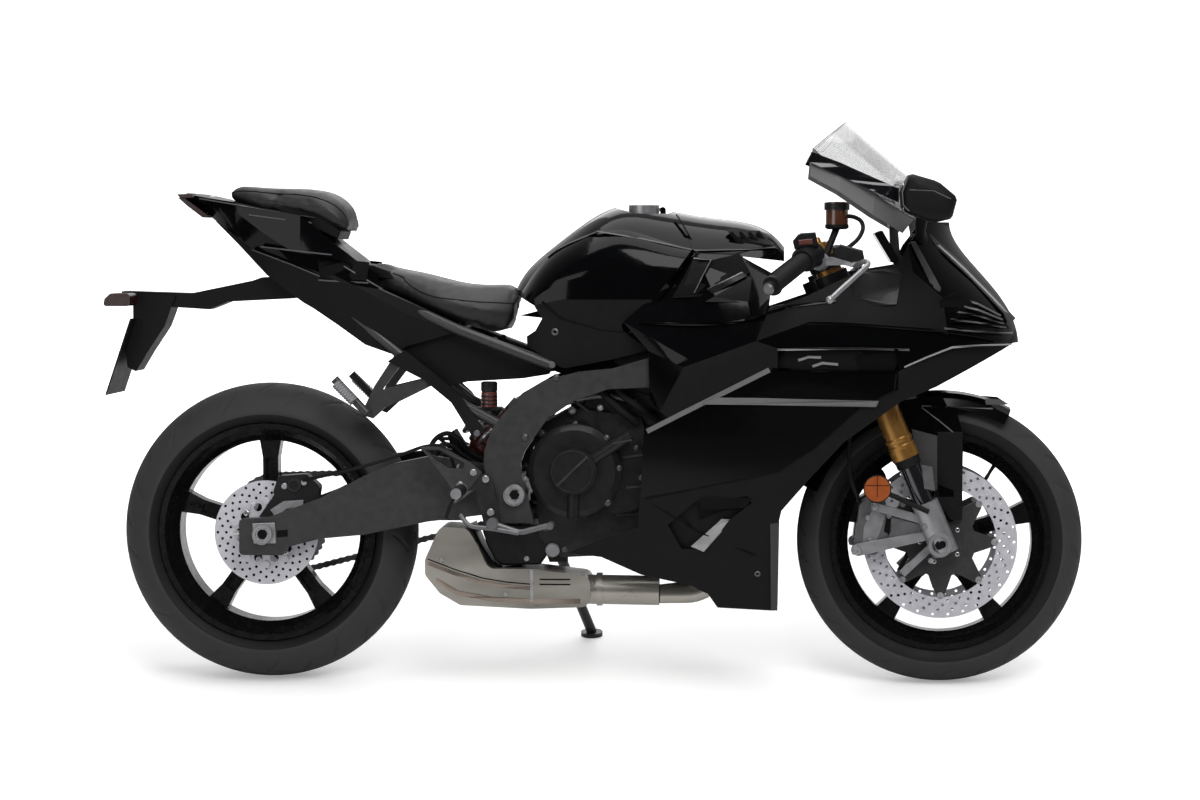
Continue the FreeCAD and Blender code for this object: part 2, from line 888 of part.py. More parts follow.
def fork_reflectors():
    """Round side reflectors on arms from the fork."""
    found = []
    for side in (-1, 1):
        centre = at(reflector_share[0], reflector_share[1])
        lens = cross_rod(
            centre, side * reflector_y, side * (reflector_y + reflector_thickness), reflector_radius,
        )
        arm_y = fork_y + fork_clamp_radius + seat_gap + reflector_arm / 2
        root = fork(fork_clamp_top * reflector_root_share, 0, side * arm_y)
        tip = Vec(centre.x, side * arm_y, centre.z)
        found.append(fused([lens, bar(root, tip, reflector_arm, reflector_arm * 3, Vec(0, 1, 0))]))
    return found


# Frame
spar_outer_shares = (
    (0.352, 0.291), (0.341, 0.345), (0.330, 0.392), (0.331, 0.417), (0.340, 0.452), (0.357, 0.481),
    (0.387, 0.520), (0.417, 0.541), (0.468, 0.557), (0.518, 0.563), (0.600, 0.592), (0.700, 0.655),
    (0.806, 0.683),
)
spar_inner_shares = (
    (0.850, 0.602), (0.740, 0.560), (0.600, 0.532), (0.512, 0.527), (0.462, 0.506), (0.423, 0.474),
    (0.402, 0.438), (0.390, 0.417), (0.384, 0.396), (0.387, 0.366), (0.396, 0.324), (0.404, 0.291),
)
spar_plan_shares = ((0.30, 1.0), (0.56, 1.0), (0.66, 0.82), (0.76, 0.45), (0.83, 0.26))
pivot_share = (0.375, 0.340)
pivot_tube_radius = 23.0
pivot_bolt_radius = 11.0
cross_tube_radius = 16.0
cross_tube_shares = ((0.376, 0.495),)
panel_post_shares = ((0.672, 0.580), (0.640, 0.552))
panel_post_radius = 9.0
engine_mount_share = (0.600, 0.565)
engine_mount_radius = 14.0
radiator_post_shares = ((0.727, 0.580), (0.727, 0.530))
radiator_post_y = 83.0
headstock_low = 442.0
headstock_high = 580.0
stand_pivot_share = (0.425, 0.212)
stand_pivot_y = 150.0
stand_lug = 16.0
stand_eye = 26.0
stand_lug_shares = (
    (0.385, 0.300), (0.404, 0.291), (0.440, 0.225), (0.440, 0.197), (0.412, 0.197), (0.380, 0.291),
)
stand_bolt_radius = 7.0


panel_post_root_share = 0.7


def wall_plan(plan_shares, half, wall, side):
    """Upright wall along a plan line, tall enough to be trimmed by a side outline."""
    outer = [Vec(rear_axle_x + u * wheelbase, side * share_y * half, 0) for u, share_y in plan_shares]
    inner = [Vec(point.x, point.y - side * wall, 0) for point in reversed(outer)]
    return Part.Face(polygon(outer + inner)).extrude(Vec(0, 0, overall_height))


head_half = 104.0
radiator_shares = ((0.714, 0.540), (0.739, 0.546), (0.762, 0.345), (0.737, 0.338))
radiator_half = 165.0


def main_frame():
    """Twin-spar frame: bent side spars, headstock, cross tubes and the stand lug."""
    shapes = []
    for side in (-1, 1):
        wall = wall_plan(spar_plan_shares, frame_outer_y, frame_wall, side)
        shapes.append(wall.common(slab(spar_outer_shares + spar_inner_shares, 0, side * frame_outer_y * 2)))
    for u, v in cross_tube_shares:
        shapes.append(
            cross_rod(at(u, v), -frame_outer_y + frame_wall, frame_outer_y - frame_wall, cross_tube_radius)
        )
    shapes.append(
        rod(fork(headstock_low, -fork_offset), fork(headstock_high, -fork_offset), headstock_radius)
    )
    body = fused(shapes)
    body = body.fuse(slab(stand_lug_shares, stand_pivot_y - stand_lug, stand_pivot_y))
    inside = fairing_form(fairing_wall + seat_gap)
    inside = inside.fuse(mirrored(inside))
    for u, v in panel_post_shares:
        for side in (-1, 1):
            post = cross_rod(
                at(u, v), side * frame_outer_y * panel_post_root_share, side * fairing_half,
                panel_post_radius,
            )
            body = body.fuse(post.common(inside))
    for side in (-1, 1):
        mount = at(engine_mount_share[0], engine_mount_share[1])
        body = body.fuse(
            cross_rod(
                mount, side * (head_half + seat_gap), side * (frame_outer_y - frame_wall),
                engine_mount_radius,
            )
        )
        high = at(radiator_post_shares[0][0], radiator_post_shares[0][1], side * radiator_post_y)
        low = at(radiator_post_shares[1][0], radiator_post_shares[1][1], side * radiator_post_y)
        body = body.fuse(
            rod(low, high, panel_post_radius).cut(slab(radiator_shares, -radiator_half, radiator_half))
        )
    body = body.cut(
        rod(
            fork(headstock_low - overrun, -fork_offset), fork(headstock_high + overrun, -fork_offset),
            stem_radius + running_fit,
        )
    )
    pivot = at(pivot_share[0], pivot_share[1])
    body = body.cut(cross_rod(pivot, -frame_outer_y - overrun, frame_outer_y + overrun, pivot_bolt_radius))
    bolt = at(stand_pivot_share[0], stand_pivot_share[1])
    body = body.cut(
        cross_rod(
            bolt, stand_pivot_y - stand_lug * 2, stand_pivot_y + overrun,
            stand_bolt_radius + running_fit,
        )
    )
    return [body.removeSplitter()]


subframe_y = 128.7
subframe_radius = 11.0
subframe_top_shares = (
    (0.430, 0.566, 1.0), (0.288, 0.631, 0.90), (0.150, 0.705, 0.66), (0.020, 0.800, 0.55),
)
subframe_low_shares = (
    (0.352, 0.462, 1.0), (0.296, 0.496, 0.82), (0.200, 0.588, 0.78), (0.080, 0.705, 0.66),
)
subframe_cross_rows = (1, 2)
tie_share = 0.8


def seat_rails(side, extra=0):
    """Upper and lower seat rail of one side, wider by the extra where they are cut clear."""
    rails = []
    for path_shares in (subframe_top_shares, subframe_low_shares):
        path = [at(u, v, side * share_y * subframe_y) for u, v, share_y in path_shares]
        rails.append(bent(path, subframe_radius + extra, overrun))
    low_u, low_v, low_y = subframe_low_shares[3]
    high_u, high_v, high_y = subframe_top_shares[2]
    low = at(low_u, low_v, side * low_y * subframe_y)
    high = at(high_u, high_v, side * high_y * subframe_y)
    rails.append(rod(low, high, subframe_radius * tie_share + extra))
    return rails


def rail_cross(row, extra=0):
    """Cross tube between the upper rails at one of their bends."""
    u, v, share_y = subframe_top_shares[row]
    return cross_rod(at(u, v), -share_y * subframe_y, share_y * subframe_y, subframe_radius + extra)


def cleared(body, extra):
    """The body with room cut for the seat rails."""
    for side in (-1, 1):
        for rail in seat_rails(side, extra):
            body = body.cut(rail)
    for row in subframe_cross_rows:
        body = body.cut(rail_cross(row, extra))
    return body


def subframe():
    """Seat rails: an upper and a lower tube on each side with cross tubes."""
    shapes = []
    for side in (-1, 1):
        shapes.extend(seat_rails(side))
    for row in subframe_cross_rows:
        shapes.append(rail_cross(row))
    return [fused(shapes)]


# Engine
case_shares = (
    (0.400, 0.455), (0.455, 0.492), (0.560, 0.475), (0.572, 0.400), (0.570, 0.290), (0.545, 0.232),
    (0.440, 0.226), (0.408, 0.262),
)
barrel_shares = ((0.462, 0.470), (0.575, 0.430), (0.630, 0.550), (0.520, 0.590))
head_shares = (
    (0.514, 0.572), (0.628, 0.532), (0.655, 0.590), (0.648, 0.622), (0.575, 0.638), (0.530, 0.620),
)
case_right_y = -108.0
case_left_y = 92.0
barrel_half = 96.0
case_corner = 14.0
starter_share = (0.464, 0.541)
starter_foot_share = (0.468, 0.480)
starter_foot_radius = 19.0
starter_radius = 27.0
starter_y = -96.0
fin_count = 5
fin_gap = 5.0
fin_depth = 7.0
clutch_share = (0.463, 0.383)
clutch_radius = 97.0
clutch_face_y = -172.0
clutch_cap_radius = 47.0
clutch_cap_y = -190.0
clutch_bevel = 12.0
bolt_boss_radius = 8.0
crank_share = (0.527, 0.370)
crank_radius = 74.0
crank_face_y = -138.0
generator_face_y = 150.0
sprocket_cover_shares = (
    (0.410, 0.300), (0.404, 0.340), (0.408, 0.385), (0.440, 0.392), (0.470, 0.365), (0.470, 0.300),
    (0.430, 0.285),
)
sprocket_cover_y = 128.0
fin_run_share = 0.3


def engine():
    """Crankcase, ribbed cylinder barrel and head as one casting."""
    case = slab(case_shares, case_right_y, case_left_y, case_corner)
    barrel = slab(barrel_shares, -barrel_half, barrel_half, case_corner / 2)
    head = slab(head_shares, -head_half, head_half, case_corner)
    low = at(barrel_shares[1][0], barrel_shares[1][1])
    high = at(barrel_shares[2][0], barrel_shares[2][1])
    back_low = at(barrel_shares[0][0], barrel_shares[0][1])
    back_high = at(barrel_shares[3][0], barrel_shares[3][1])
    for index in range(1, fin_count):
        share = index / fin_count
        start = back_low + (back_high - back_low) * share
        end = low + (high - low) * share
        stretch = (end - start) * fin_run_share
        for side in (-1, 1):
            edge = Vec(0, side * barrel_half, 0)
            groove = bar(start - stretch + edge, end + stretch + edge, fin_depth * 2, fin_gap, Vec(0, 1, 0))
            barrel = barrel.cut(groove)
    starter = cross_rod(at(starter_share[0], starter_share[1]), starter_y, 0, starter_radius)
    foot_y = starter_y + starter_radius
    foot_low = at(starter_foot_share[0], starter_foot_share[1], foot_y)
    foot_high = at(starter_share[0], starter_share[1], foot_y)
    foot = rod(foot_low, foot_high, starter_foot_radius)
    return [fused([case, barrel, head, starter, foot])]


def bolt_bosses(centre, radius, count, low_y, high_y, first_deg):
    """Round bosses spaced on a circle."""
    boss = cross_rod(centre + Vec(radius, 0, 0), low_y, high_y, bolt_boss_radius)
    found = turned(boss, centre, count)
    for copy in found:
        copy.rotate(centre, Vec(0, 1, 0), first_deg)
    return found


clutch_bolts = 7
clutch_bolt_deg = 20.0
generator_bolts = 6
generator_bolt_deg = 10.0
cover_pipe_shares = ((0.545, 0.448), (0.461, 0.300))
cover_pipe_y = -168.0
cover_pipe_radius = 13.0
clutch_boss_y = -128.0
generator_boss_y = 118.0
cover_foot_share = (0.452, 0.300)


def engine_covers():
    """Clutch and crank covers on the right, generator and sprocket covers on the left."""
    clutch = at(clutch_share[0], clutch_share[1])
    crank = at(crank_share[0], crank_share[1])
    start = case_right_y - seat_gap
    dish = cross_rod(clutch, clutch_face_y + clutch_bevel, start, clutch_radius)
    rim_near = Vec(clutch.x, clutch_face_y + clutch_bevel, clutch.z)
    rim_far = Vec(clutch.x, clutch_face_y, clutch.z)
    dish_edge = cone(rim_near, rim_far, clutch_radius, clutch_radius - clutch_bevel)
    cap = cross_rod(clutch, clutch_cap_y, clutch_face_y, clutch_cap_radius)
    crank_dish = cross_rod(crank, crank_face_y, start, crank_radius)
    bosses = bolt_bosses(clutch, clutch_radius, clutch_bolts, clutch_boss_y, start, clutch_bolt_deg)
    pipes = []
    for u, v in cover_pipe_shares:
        near = Vec(clutch.x, cover_pipe_y, clutch.z)
        pipes.append(rod(near, at(u, v, cover_pipe_y), cover_pipe_radius))
    right = fused([dish, dish_edge, cap, crank_dish] + bosses + pipes)
    start = case_left_y + seat_gap
    generator = cross_rod(crank, start, generator_face_y - clutch_bevel, crank_radius)
    rim_near = Vec(crank.x, generator_face_y - clutch_bevel, crank.z)
    rim_far = Vec(crank.x, generator_face_y, crank.z)
    generator_edge = cone(rim_near, rim_far, crank_radius, crank_radius - clutch_bevel)
    bosses = bolt_bosses(crank, crank_radius, generator_bolts, start, generator_boss_y, generator_bolt_deg)
    left = fused([generator, generator_edge] + bosses)
    cover = slab(
        sprocket_cover_shares, chain_y + chain_plate_gap + working_gap, sprocket_cover_y, case_corner,
    )
    cover = cover.cut(
        cross_rod(crank, start, generator_face_y, crank_radius + bolt_boss_radius + panel_gap)
    )
    foot = cross_rod(
        at(cover_foot_share[0], cover_foot_share[1]), start, sprocket_cover_y, bolt_boss_radius,
    )
    return [right, left, fused([cover, foot])]


radiator_tank = 18.0
radiator_fin_count = 12
radiator_fin_depth = 4.0


def radiator():
    """Radiator core with raised side tanks and a grooved face."""
    body = slab(radiator_shares, -radiator_half, radiator_half)
    top = at(radiator_shares[1][0], radiator_shares[1][1])
    low = at(radiator_shares[2][0], radiator_shares[2][1])
    for index in range(1, radiator_fin_count):
        place = top + (low - top) * (index / radiator_fin_count)
        right = Vec(place.x, -radiator_half + radiator_tank, place.z)
        left = Vec(place.x, radiator_half - radiator_tank, place.z)
        body = body.cut(bar(right, left, radiator_fin_depth * 2, radiator_fin_depth * 2, low - top))
    return [body]


header_spacing = 62.0
header_radius = 19.0
header_shares = ((0.638, 0.556), (0.690, 0.530), (0.700, 0.240), (0.655, 0.158), (0.585, 0.158))
muffler_shares = (
    (0.262, 0.281), (0.240, 0.222), (0.240, 0.194), (0.262, 0.162), (0.292, 0.141), (0.397, 0.135),
    (0.484, 0.139), (0.484, 0.194), (0.397, 0.206), (0.334, 0.206), (0.318, 0.248), (0.303, 0.277),
)
muffler_right_y = -122.0
muffler_left_y = 12.0
muffler_corner = 20.0
collector_shares = ((0.484, 0.166), (0.585, 0.164))
collector_overlap_share = 0.02
collector_radius = 31.0
collector_y = -66.0
band_width = 12.0
band_wall = 4.0


def exhaust():
    """Three headers into a collector and the low muffler box."""
    box_shape = slab(muffler_shares, muffler_right_y, muffler_left_y, muffler_corner)
    start = at(collector_shares[0][0] - collector_overlap_share, collector_shares[0][1], collector_y)
    end = at(collector_shares[1][0], collector_shares[1][1], collector_y)
    collector = rod(start, end, collector_radius)
    band = rod(
        start + Vec(overrun, 0, 0), start + Vec(overrun + band_width, 0, 0),
        collector_radius + band_wall,
    )
    shapes = [box_shape, collector, band]
    for row in (-1, 0, 1):
        path = []
        for index, (u, v) in enumerate(header_shares):
            y = row * header_spacing
            if index == len(header_shares) - 1:
                y = collector_y + row * header_radius * corner_share
            path.append(at(u, v, y))
        shapes.append(bent(path, header_radius, overrun * 2))
    head = slab(head_shares, -head_half, head_half, case_corner)
    return [fused(shapes).cut(head)]


# Rear suspension
arm_shares = (
    (-0.035, 0.293), (0.010, 0.297), (0.086, 0.331), (0.117, 0.349), (0.149, 0.370), (0.194, 0.393),
    (0.251, 0.407), (0.330, 0.392), (0.385, 0.366), (0.394, 0.340), (0.380, 0.315), (0.350, 0.306),
    (0.244, 0.290), (0.149, 0.266), (0.086, 0.259), (0.038, 0.244), (0.030, 0.229), (-0.035, 0.229),
)
arm_inner_y = 104.0
arm_outer_y = 133.0
left_arm_inner_y = 118.0
arm_corner = 9.0
link_shares = (
    (0.326, 0.368), (0.382, 0.368), (0.386, 0.314), (0.370, 0.300), (0.346, 0.302), (0.330, 0.318),
)
link_half = 88.0
bridge_shares = ((0.238, 0.345), (0.300, 0.345), (0.300, 0.292), (0.250, 0.292))


def swingarm():
    """Two arms joined by a bridge and the pivot tube."""
    right = slab(arm_shares, -arm_outer_y, -arm_inner_y, arm_corner)
    left = slab(arm_shares, left_arm_inner_y, arm_outer_y, arm_corner)
    bridge = slab(bridge_shares, -arm_outer_y + arm_corner, arm_outer_y - arm_corner, arm_corner)
    pivot = at(pivot_share[0], pivot_share[1])
    tube = cross_rod(pivot, -arm_outer_y, arm_outer_y, pivot_tube_radius)
    link = slab(link_shares, -link_half, link_half, arm_corner)
    body = fused([right, left, bridge, tube, link])
    body = body.cut(
        cross_rod(pivot, -arm_outer_y - overrun, arm_outer_y + overrun, pivot_bolt_radius + running_fit)
    )
    body = body.cut(
        cross_rod(rear_axle, -arm_outer_y - overrun, arm_outer_y + overrun, rear_axle_radius + running_fit)
    )
    return [body]


axle_nut_radius = 21.0
axle_nut_depth = 12.0
spacer_radius = 20.0
pivot_nut_radius = 22.0


def rear_axle_set():
    """Rear axle with its spacers and nuts, and the pivot bolt of the swingarm."""
    shapes = [
        cross_rod(rear_axle, -arm_outer_y - axle_nut_depth, arm_outer_y + axle_nut_depth, rear_axle_radius)
    ]
    shapes.append(cross_rod(rear_axle, -arm_inner_y + seat_gap, -rear_hub_half - seat_gap, spacer_radius))
    shapes.append(
        cross_rod(rear_axle, rear_hub_half + seat_gap, left_arm_inner_y - seat_gap, spacer_radius)
    )
    for side in (-1, 1):
        shapes.append(
            cross_rod(
                rear_axle, side * (arm_outer_y + seat_gap), side * (arm_outer_y + axle_nut_depth),
                axle_nut_radius,
            )
        )
    pivot = at(pivot_share[0], pivot_share[1])
    bolt = cross_rod(
        pivot, -frame_outer_y - axle_nut_depth, frame_outer_y + axle_nut_depth,
        pivot_bolt_radius - running_fit,
    )
    heads = []
    for side in (-1, 1):
        heads.append(
            cross_rod(
                pivot, side * (frame_outer_y + seat_gap), side * (frame_outer_y + axle_nut_depth),
                pivot_nut_radius,
            )
        )
    return [fused(shapes), fused([bolt] + heads)]


shock_low_share = (0.272, 0.3535)
shock_y = 0.0
shock_rod_radius = 10.0
spring_radius = 30.0
spring_wire = 5.5
spring_turns = 7
shock_body_radius = 20.0
shock_body_share = 0.45
spring_low_share = 0.08
spring_step_share = 0.085


def rear_shock():
    """Shock absorber with stacked spring coils and a reservoir."""
    top = at(cross_tube_shares[0][0], cross_tube_shares[0][1], shock_y)
    low = at(shock_low_share[0], shock_low_share[1], shock_y)
    along = top - low
    shapes = [rod(low, top, shock_rod_radius), rod(low + along * shock_body_share, top, shock_body_radius)]
    for index in range(spring_turns):
        place = low + along * (spring_low_share + spring_step_share * index)
        step = along * (spring_step_share / 2)
        shapes.append(cone(place, place + step, spring_radius, spring_radius - spring_wire))
        shapes.append(cone(place + step, place + step * 2, spring_radius - spring_wire, spring_radius))
    tube = cross_rod(top, -shock_body_radius * 2, shock_body_radius * 2, cross_tube_radius + seat_gap)
    return [fused(shapes).cut(tube)]


rear_caliper_shares = (
    (0.010, 0.330), (0.020, 0.368), (0.062, 0.372), (0.082, 0.350), (0.078, 0.318), (0.055, 0.322),
    (0.034, 0.334),
)
rear_caliper_inner_y = -58.0
rear_caliper_outer_y = -100.0
hanger_shares = (
    (-0.016, 0.262), (-0.012, 0.290), (0.020, 0.345), (0.055, 0.345), (0.016, 0.262), (0.000, 0.246),
)
hanger_inner_y = -94.0


def rear_caliper():
    """Rear caliper on its hanger plate beside the disc."""
    body = slab(rear_caliper_shares, rear_caliper_outer_y, rear_caliper_inner_y, arm_corner)
    body = body.cut(
        cross_rod(
            rear_axle, rear_disc_y - caliper_slot / 2, rear_disc_y + caliper_slot / 2,
            rear_disc_radius + working_gap,
        )
    )
    hanger = slab(hanger_shares, rear_caliper_outer_y - seat_gap * 2, hanger_inner_y, arm_corner)
    eye = cross_rod(
        rear_axle, rear_caliper_outer_y - seat_gap * 2, hanger_inner_y, spacer_radius + arm_corner,
    )
    return [fused([body, hanger, eye]).cut(cross_rod(rear_axle, -arm_inner_y, 0, spacer_radius + seat_gap))]


# Fuel tank
tank_section_shares = (
    (0.366, 0.690, 0.35, 0.674, 0.62, 0.640, 0.62, 0.600),
    (0.386, 0.733, 0.44, 0.706, 0.76, 0.665, 0.74, 0.590),
    (0.414, 0.765, 0.54, 0.748, 0.88, 0.695, 0.86, 0.575),
    (0.460, 0.808, 0.64, 0.783, 0.98, 0.720, 0.92, 0.560),
    (0.517, 0.846, 0.70, 0.806, 1.00, 0.735, 0.94, 0.555),
    (0.600, 0.840, 0.74, 0.783, 0.97, 0.735, 0.92, 0.560),
    (0.680, 0.825, 0.72, 0.769, 0.84, 0.735, 0.80, 0.600),
    (0.745, 0.803, 0.60, 0.776, 0.66, 0.750, 0.62, 0.690),
    (0.768, 0.776, 0.48, 0.768, 0.52, 0.755, 0.50, 0.720),
)
tank_crown_share = 0.75
tank_gloss_shares = (
    (0.340, 0.715), (0.402, 0.673), (0.445, 0.684), (0.578, 0.684), (0.607, 0.722), (0.636, 0.766),
    (0.606, 0.850), (0.580, 0.900), (0.340, 0.900),
)
tank_cover_shares = (
    (0.580, 0.900), (0.606, 0.850), (0.636, 0.766), (0.700, 0.760), (0.775, 0.750), (0.790, 0.900),
)
tank_core_shares = (
    (0.380, 0.655), (0.410, 0.664), (0.402, 0.673), (0.445, 0.684), (0.578, 0.684), (0.600, 0.660),
    (0.590, 0.645), (0.460, 0.645),
)
knee_shares = (
    (0.380, 0.610), (0.404, 0.629), (0.414, 0.650), (0.402, 0.673), (0.445, 0.684), (0.578, 0.684),
    (0.531, 0.640), (0.534, 0.628), (0.572, 0.595), (0.515, 0.578), (0.445, 0.562),
)
knee_inner_y = 116.0
tank_core_y = 112.0
cap_share = (0.560, 0.843)
cap_radius = 32.0
cap_seat = 60.0
cap_knuckle_radius = 5.5
cap_knuckle_half = 9.0
cap_ear = 6.0
cap_tab_half = 3.5
cap_hinge_radius = 3.0


def tank_body():
    """Whole tank form: crowned top, creased shoulders, full flanks."""
    wires = []
    for u, top, crease_y, crease, flank_y, flank, low_y, low in tank_section_shares:
        x = rear_axle_x + u * wheelbase
        crown = top - (top - crease) * (1 - tank_crown_share)
        mid = (crease + flank) / 2
        mid_y = crease_y + (flank_y - crease_y) * tank_crown_share
        half = tank_half
        top_run = [
            (0, top * overall_height), (crease_y * half / 2, crown * overall_height),
            (crease_y * half, crease * overall_height),
        ]
        flank_run = [
            (crease_y * half, crease * overall_height), (mid_y * half, mid * overall_height),
            (flank_y * half, flank * overall_height),
        ]
        low_run = [(flank_y * half, flank * overall_height), (low_y * half, low * overall_height)]
        wires.append(ring(x, [top_run, flank_run, low_run]))
    return loft(wires)


def cap_place():
    """Centre of the filler cap on top of the tank."""
    return at(cap_share[0], cap_share[1])


def cap_hinge_point():
    """Middle of the filler cap's hinge pin."""
    return cap_place() + Vec(cap_radius + cap_knuckle_radius * 1.5, 0, 0)


def fuel_tank():
    """Gloss tank shell on its narrow core, and the cover ahead of it."""
    body = tank_body()
    shell = body.common(slab(tank_gloss_shares, -tank_half * 2, tank_half * 2))
    core = body.common(slab(tank_core_shares, -tank_core_y, tank_core_y))
    cover = body.common(slab(tank_cover_shares, -tank_half * 2, tank_half * 2))
    tank = fused([shell, core])
    place = cap_place()
    tank = tank.cut(rod(place - Vec(0, 0, cap_height), place + Vec(0, 0, overrun), cap_seat))
    hinge = cap_hinge_point()
    reach = cap_knuckle_half + seat_gap
    for side in (-1, 1):
        inner, outer = sorted((side * reach, side * (reach + cap_ear)))
        foot = hinge - Vec(0, 0, cap_height + overrun / 2)
        ear = box(foot + Vec(-cap_knuckle_radius, inner, 0), hinge + Vec(cap_knuckle_radius, outer, 0))
        tank = tank.fuse(ear).fuse(cross_rod(hinge, inner, outer, cap_knuckle_radius))
    tank = tank.fuse(cross_rod(hinge, -reach - cap_ear, reach + cap_ear, cap_hinge_radius))
    return [tank, cover.translated(Vec(panel_gap, 0, 0))]


def knee_covers():
    """Matt knee panels under the tank's edge."""
    body = tank_body()
    found = []
    for side in (-1, 1):
        panel = body.common(slab(knee_shares, side * knee_inner_y, side * tank_half * 2))
        found.append(cleared(panel.translated(Vec(0, 0, -seat_gap)), seat_gap))
    return found


def fuel_cap():
    """Round filler cap that opens on a hinge at its front."""
    low = cap_place() - Vec(0, 0, cap_height - seat_gap)
    lid = rod(low, low + Vec(0, 0, cap_height * 2), cap_radius)
    hinge = cap_hinge_point()
    tab_low = Vec(hinge.x - cap_radius / 2, -cap_knuckle_half, hinge.z - cap_tab_half)
    tab = box(tab_low, Vec(hinge.x, cap_knuckle_half, hinge.z + cap_tab_half))
    knuckle = cross_rod(hinge, -cap_knuckle_half, cap_knuckle_half, cap_knuckle_radius)
    bore = cross_rod(hinge, -overrun, overrun, cap_hinge_radius + running_fit)
    return [fused([lid, tab, knuckle]).cut(bore)]


# Seats
rider_seat_shares = (
    (0.160, 0.748, 0.52, 0.722, 0.700),
    (0.215, 0.724, 0.80, 0.700, 0.684),
    (0.285, 0.703, 1.00, 0.672, 0.650),
    (0.340, 0.699, 0.90, 0.662, 0.630),
    (0.375, 0.697, 0.72, 0.652, 0.625),
    (0.396, 0.674, 0.62, 0.645, 0.630),
)
passenger_seat_shares = (
    (-0.060, 0.876, 0.30, 0.868, 0.861),
    (-0.035, 0.877, 0.52, 0.862, 0.852),
    (0.030, 0.872, 0.74, 0.852, 0.840),
    (0.085, 0.866, 0.84, 0.838, 0.826),
    (0.112, 0.850, 0.80, 0.822, 0.806),
    (0.124, 0.832, 0.70, 0.808, 0.796),
)

seat_crown_share = 0.72
seat_sag_share = 0.22
seat_base_share = 0.94


def seat(section_shares):
    """Padded seat: flat underside, round shoulders, crowned top."""
    wires = []
    for u, top, width, shoulder, low in section_shares:
        half = width * seat_half
        high = top * overall_height
        edge = shoulder * overall_height
        base = low * overall_height
        top_run = [
            (0, high), (half * seat_crown_share, high - (high - edge) * seat_sag_share), (half, edge),
        ]
        side_run = [(half, edge), (half * seat_base_share, base)]
        wires.append(ring(rear_axle_x + u * wheelbase, [top_run, side_run]))
    return loft(wires)


def rider_seat():
    """Rider's seat, its nose cut to the back of the tank."""
    return [seat(rider_seat_shares).cut(tank_body().translated(Vec(-panel_gap, 0, 0)))]


def passenger_seat():
    return [seat(passenger_seat_shares)]


# Tail
tail_section_shares = (
    (-0.126, 0.874, 0.16, 0.872, 0.16, 0.866, 0.10, 0.862),
    (-0.090, 0.870, 0.40, 0.864, 0.42, 0.852, 0.20, 0.834),
    (-0.045, 0.858, 0.62, 0.856, 0.66, 0.840, 0.36, 0.782),
    (0.000, 0.846, 0.78, 0.844, 0.82, 0.800, 0.48, 0.726),
    (0.055, 0.834, 0.88, 0.832, 0.94, 0.760, 0.62, 0.678),
    (0.100, 0.790, 0.90, 0.788, 1.00, 0.730, 0.74, 0.644),
    (0.150, 0.722, 0.90, 0.742, 1.00, 0.700, 0.84, 0.603),
    (0.210, 0.690, 0.94, 0.704, 1.00, 0.660, 0.88, 0.578),
    (0.290, 0.640, 0.92, 0.648, 0.96, 0.620, 0.90, 0.560),
)
tail_gloss_shares = (
    (-0.140, 0.900), (-0.132, 0.868), (-0.070, 0.815), (-0.018, 0.771), (0.092, 0.716), (0.171, 0.702),
    (0.172, 0.745), (0.120, 0.900),
)
tail_matt_shares = (
    (-0.080, 0.823), (-0.018, 0.771), (0.092, 0.716), (0.171, 0.702), (0.290, 0.640), (0.300, 0.630),
    (0.212, 0.600), (0.186, 0.575), (0.149, 0.604), (0.111, 0.636), (0.073, 0.666), (0.043, 0.686),
    (-0.010, 0.700), (-0.070, 0.780),
)
tail_duct_shares = ((0.000, 0.776), (0.104, 0.757), (0.132, 0.742), (0.100, 0.724), (0.040, 0.750))
tail_duct_depth = 22.0
side_cover_shares = (
    (0.200, 0.590), (0.212, 0.600), (0.290, 0.628), (0.417, 0.572), (0.425, 0.551), (0.384, 0.543),
    (0.301, 0.537), (0.275, 0.528),
)
side_cover_inner_y = 78.0
side_cover_outer_y = 92.0
rail_cover_shares = (
    (0.186, 0.574, 0.212, 0.594, 1.108), (0.240, 0.541, 0.255, 0.553, 1.108),
    (0.279, 0.501, 0.294, 0.512, 1.010),
    (0.287, 0.486, 0.303, 0.497, 1.020), (0.312, 0.440, 0.330, 0.452, 1.150),
)
rail_cover_wall = 4.0


def tail_body():
    """Whole tail form, narrow at the tip and split by a side crease."""
    wires = []
    for u, top, top_y, edge, flank_y, flank, low_y, low in tail_section_shares:
        half = tail_half
        runs = [
            [(0, top * overall_height), (top_y * half, edge * overall_height)],
            [(top_y * half, edge * overall_height), (flank_y * half, flank * overall_height)],
            [(flank_y * half, flank * overall_height), (low_y * half, low * overall_height)],
        ]
        wires.append(ring(rear_axle_x + u * wheelbase, runs))
    return loft(wires, True)


tail_lamp_shares = (
    (-0.128, 0.866), (-0.107, 0.848), (-0.086, 0.829), (-0.098, 0.829), (-0.121, 0.850), (-0.134, 0.864),
)
tail_lamp_half = 44.0


def tail_cowl():
    """Gloss upper tail with an air duct pressed into each flank."""
    body = tail_body().common(slab(tail_gloss_shares, -tail_half * 2, tail_half * 2))
    for side in (-1, 1):
        body = body.cut(slab(tail_duct_shares, side * (tail_half - tail_duct_depth), side * tail_half * 2))
    for shares in (passenger_seat_shares, rider_seat_shares):
        cushion = seat(shares)
        body = body.cut(cushion).cut(cushion.translated(Vec(0, 0, -seat_gap)))
    body = body.cut(slab(tail_lamp_shares, -tail_lamp_half - seat_gap, tail_lamp_half + seat_gap))
    return [cleared(body, panel_gap)]


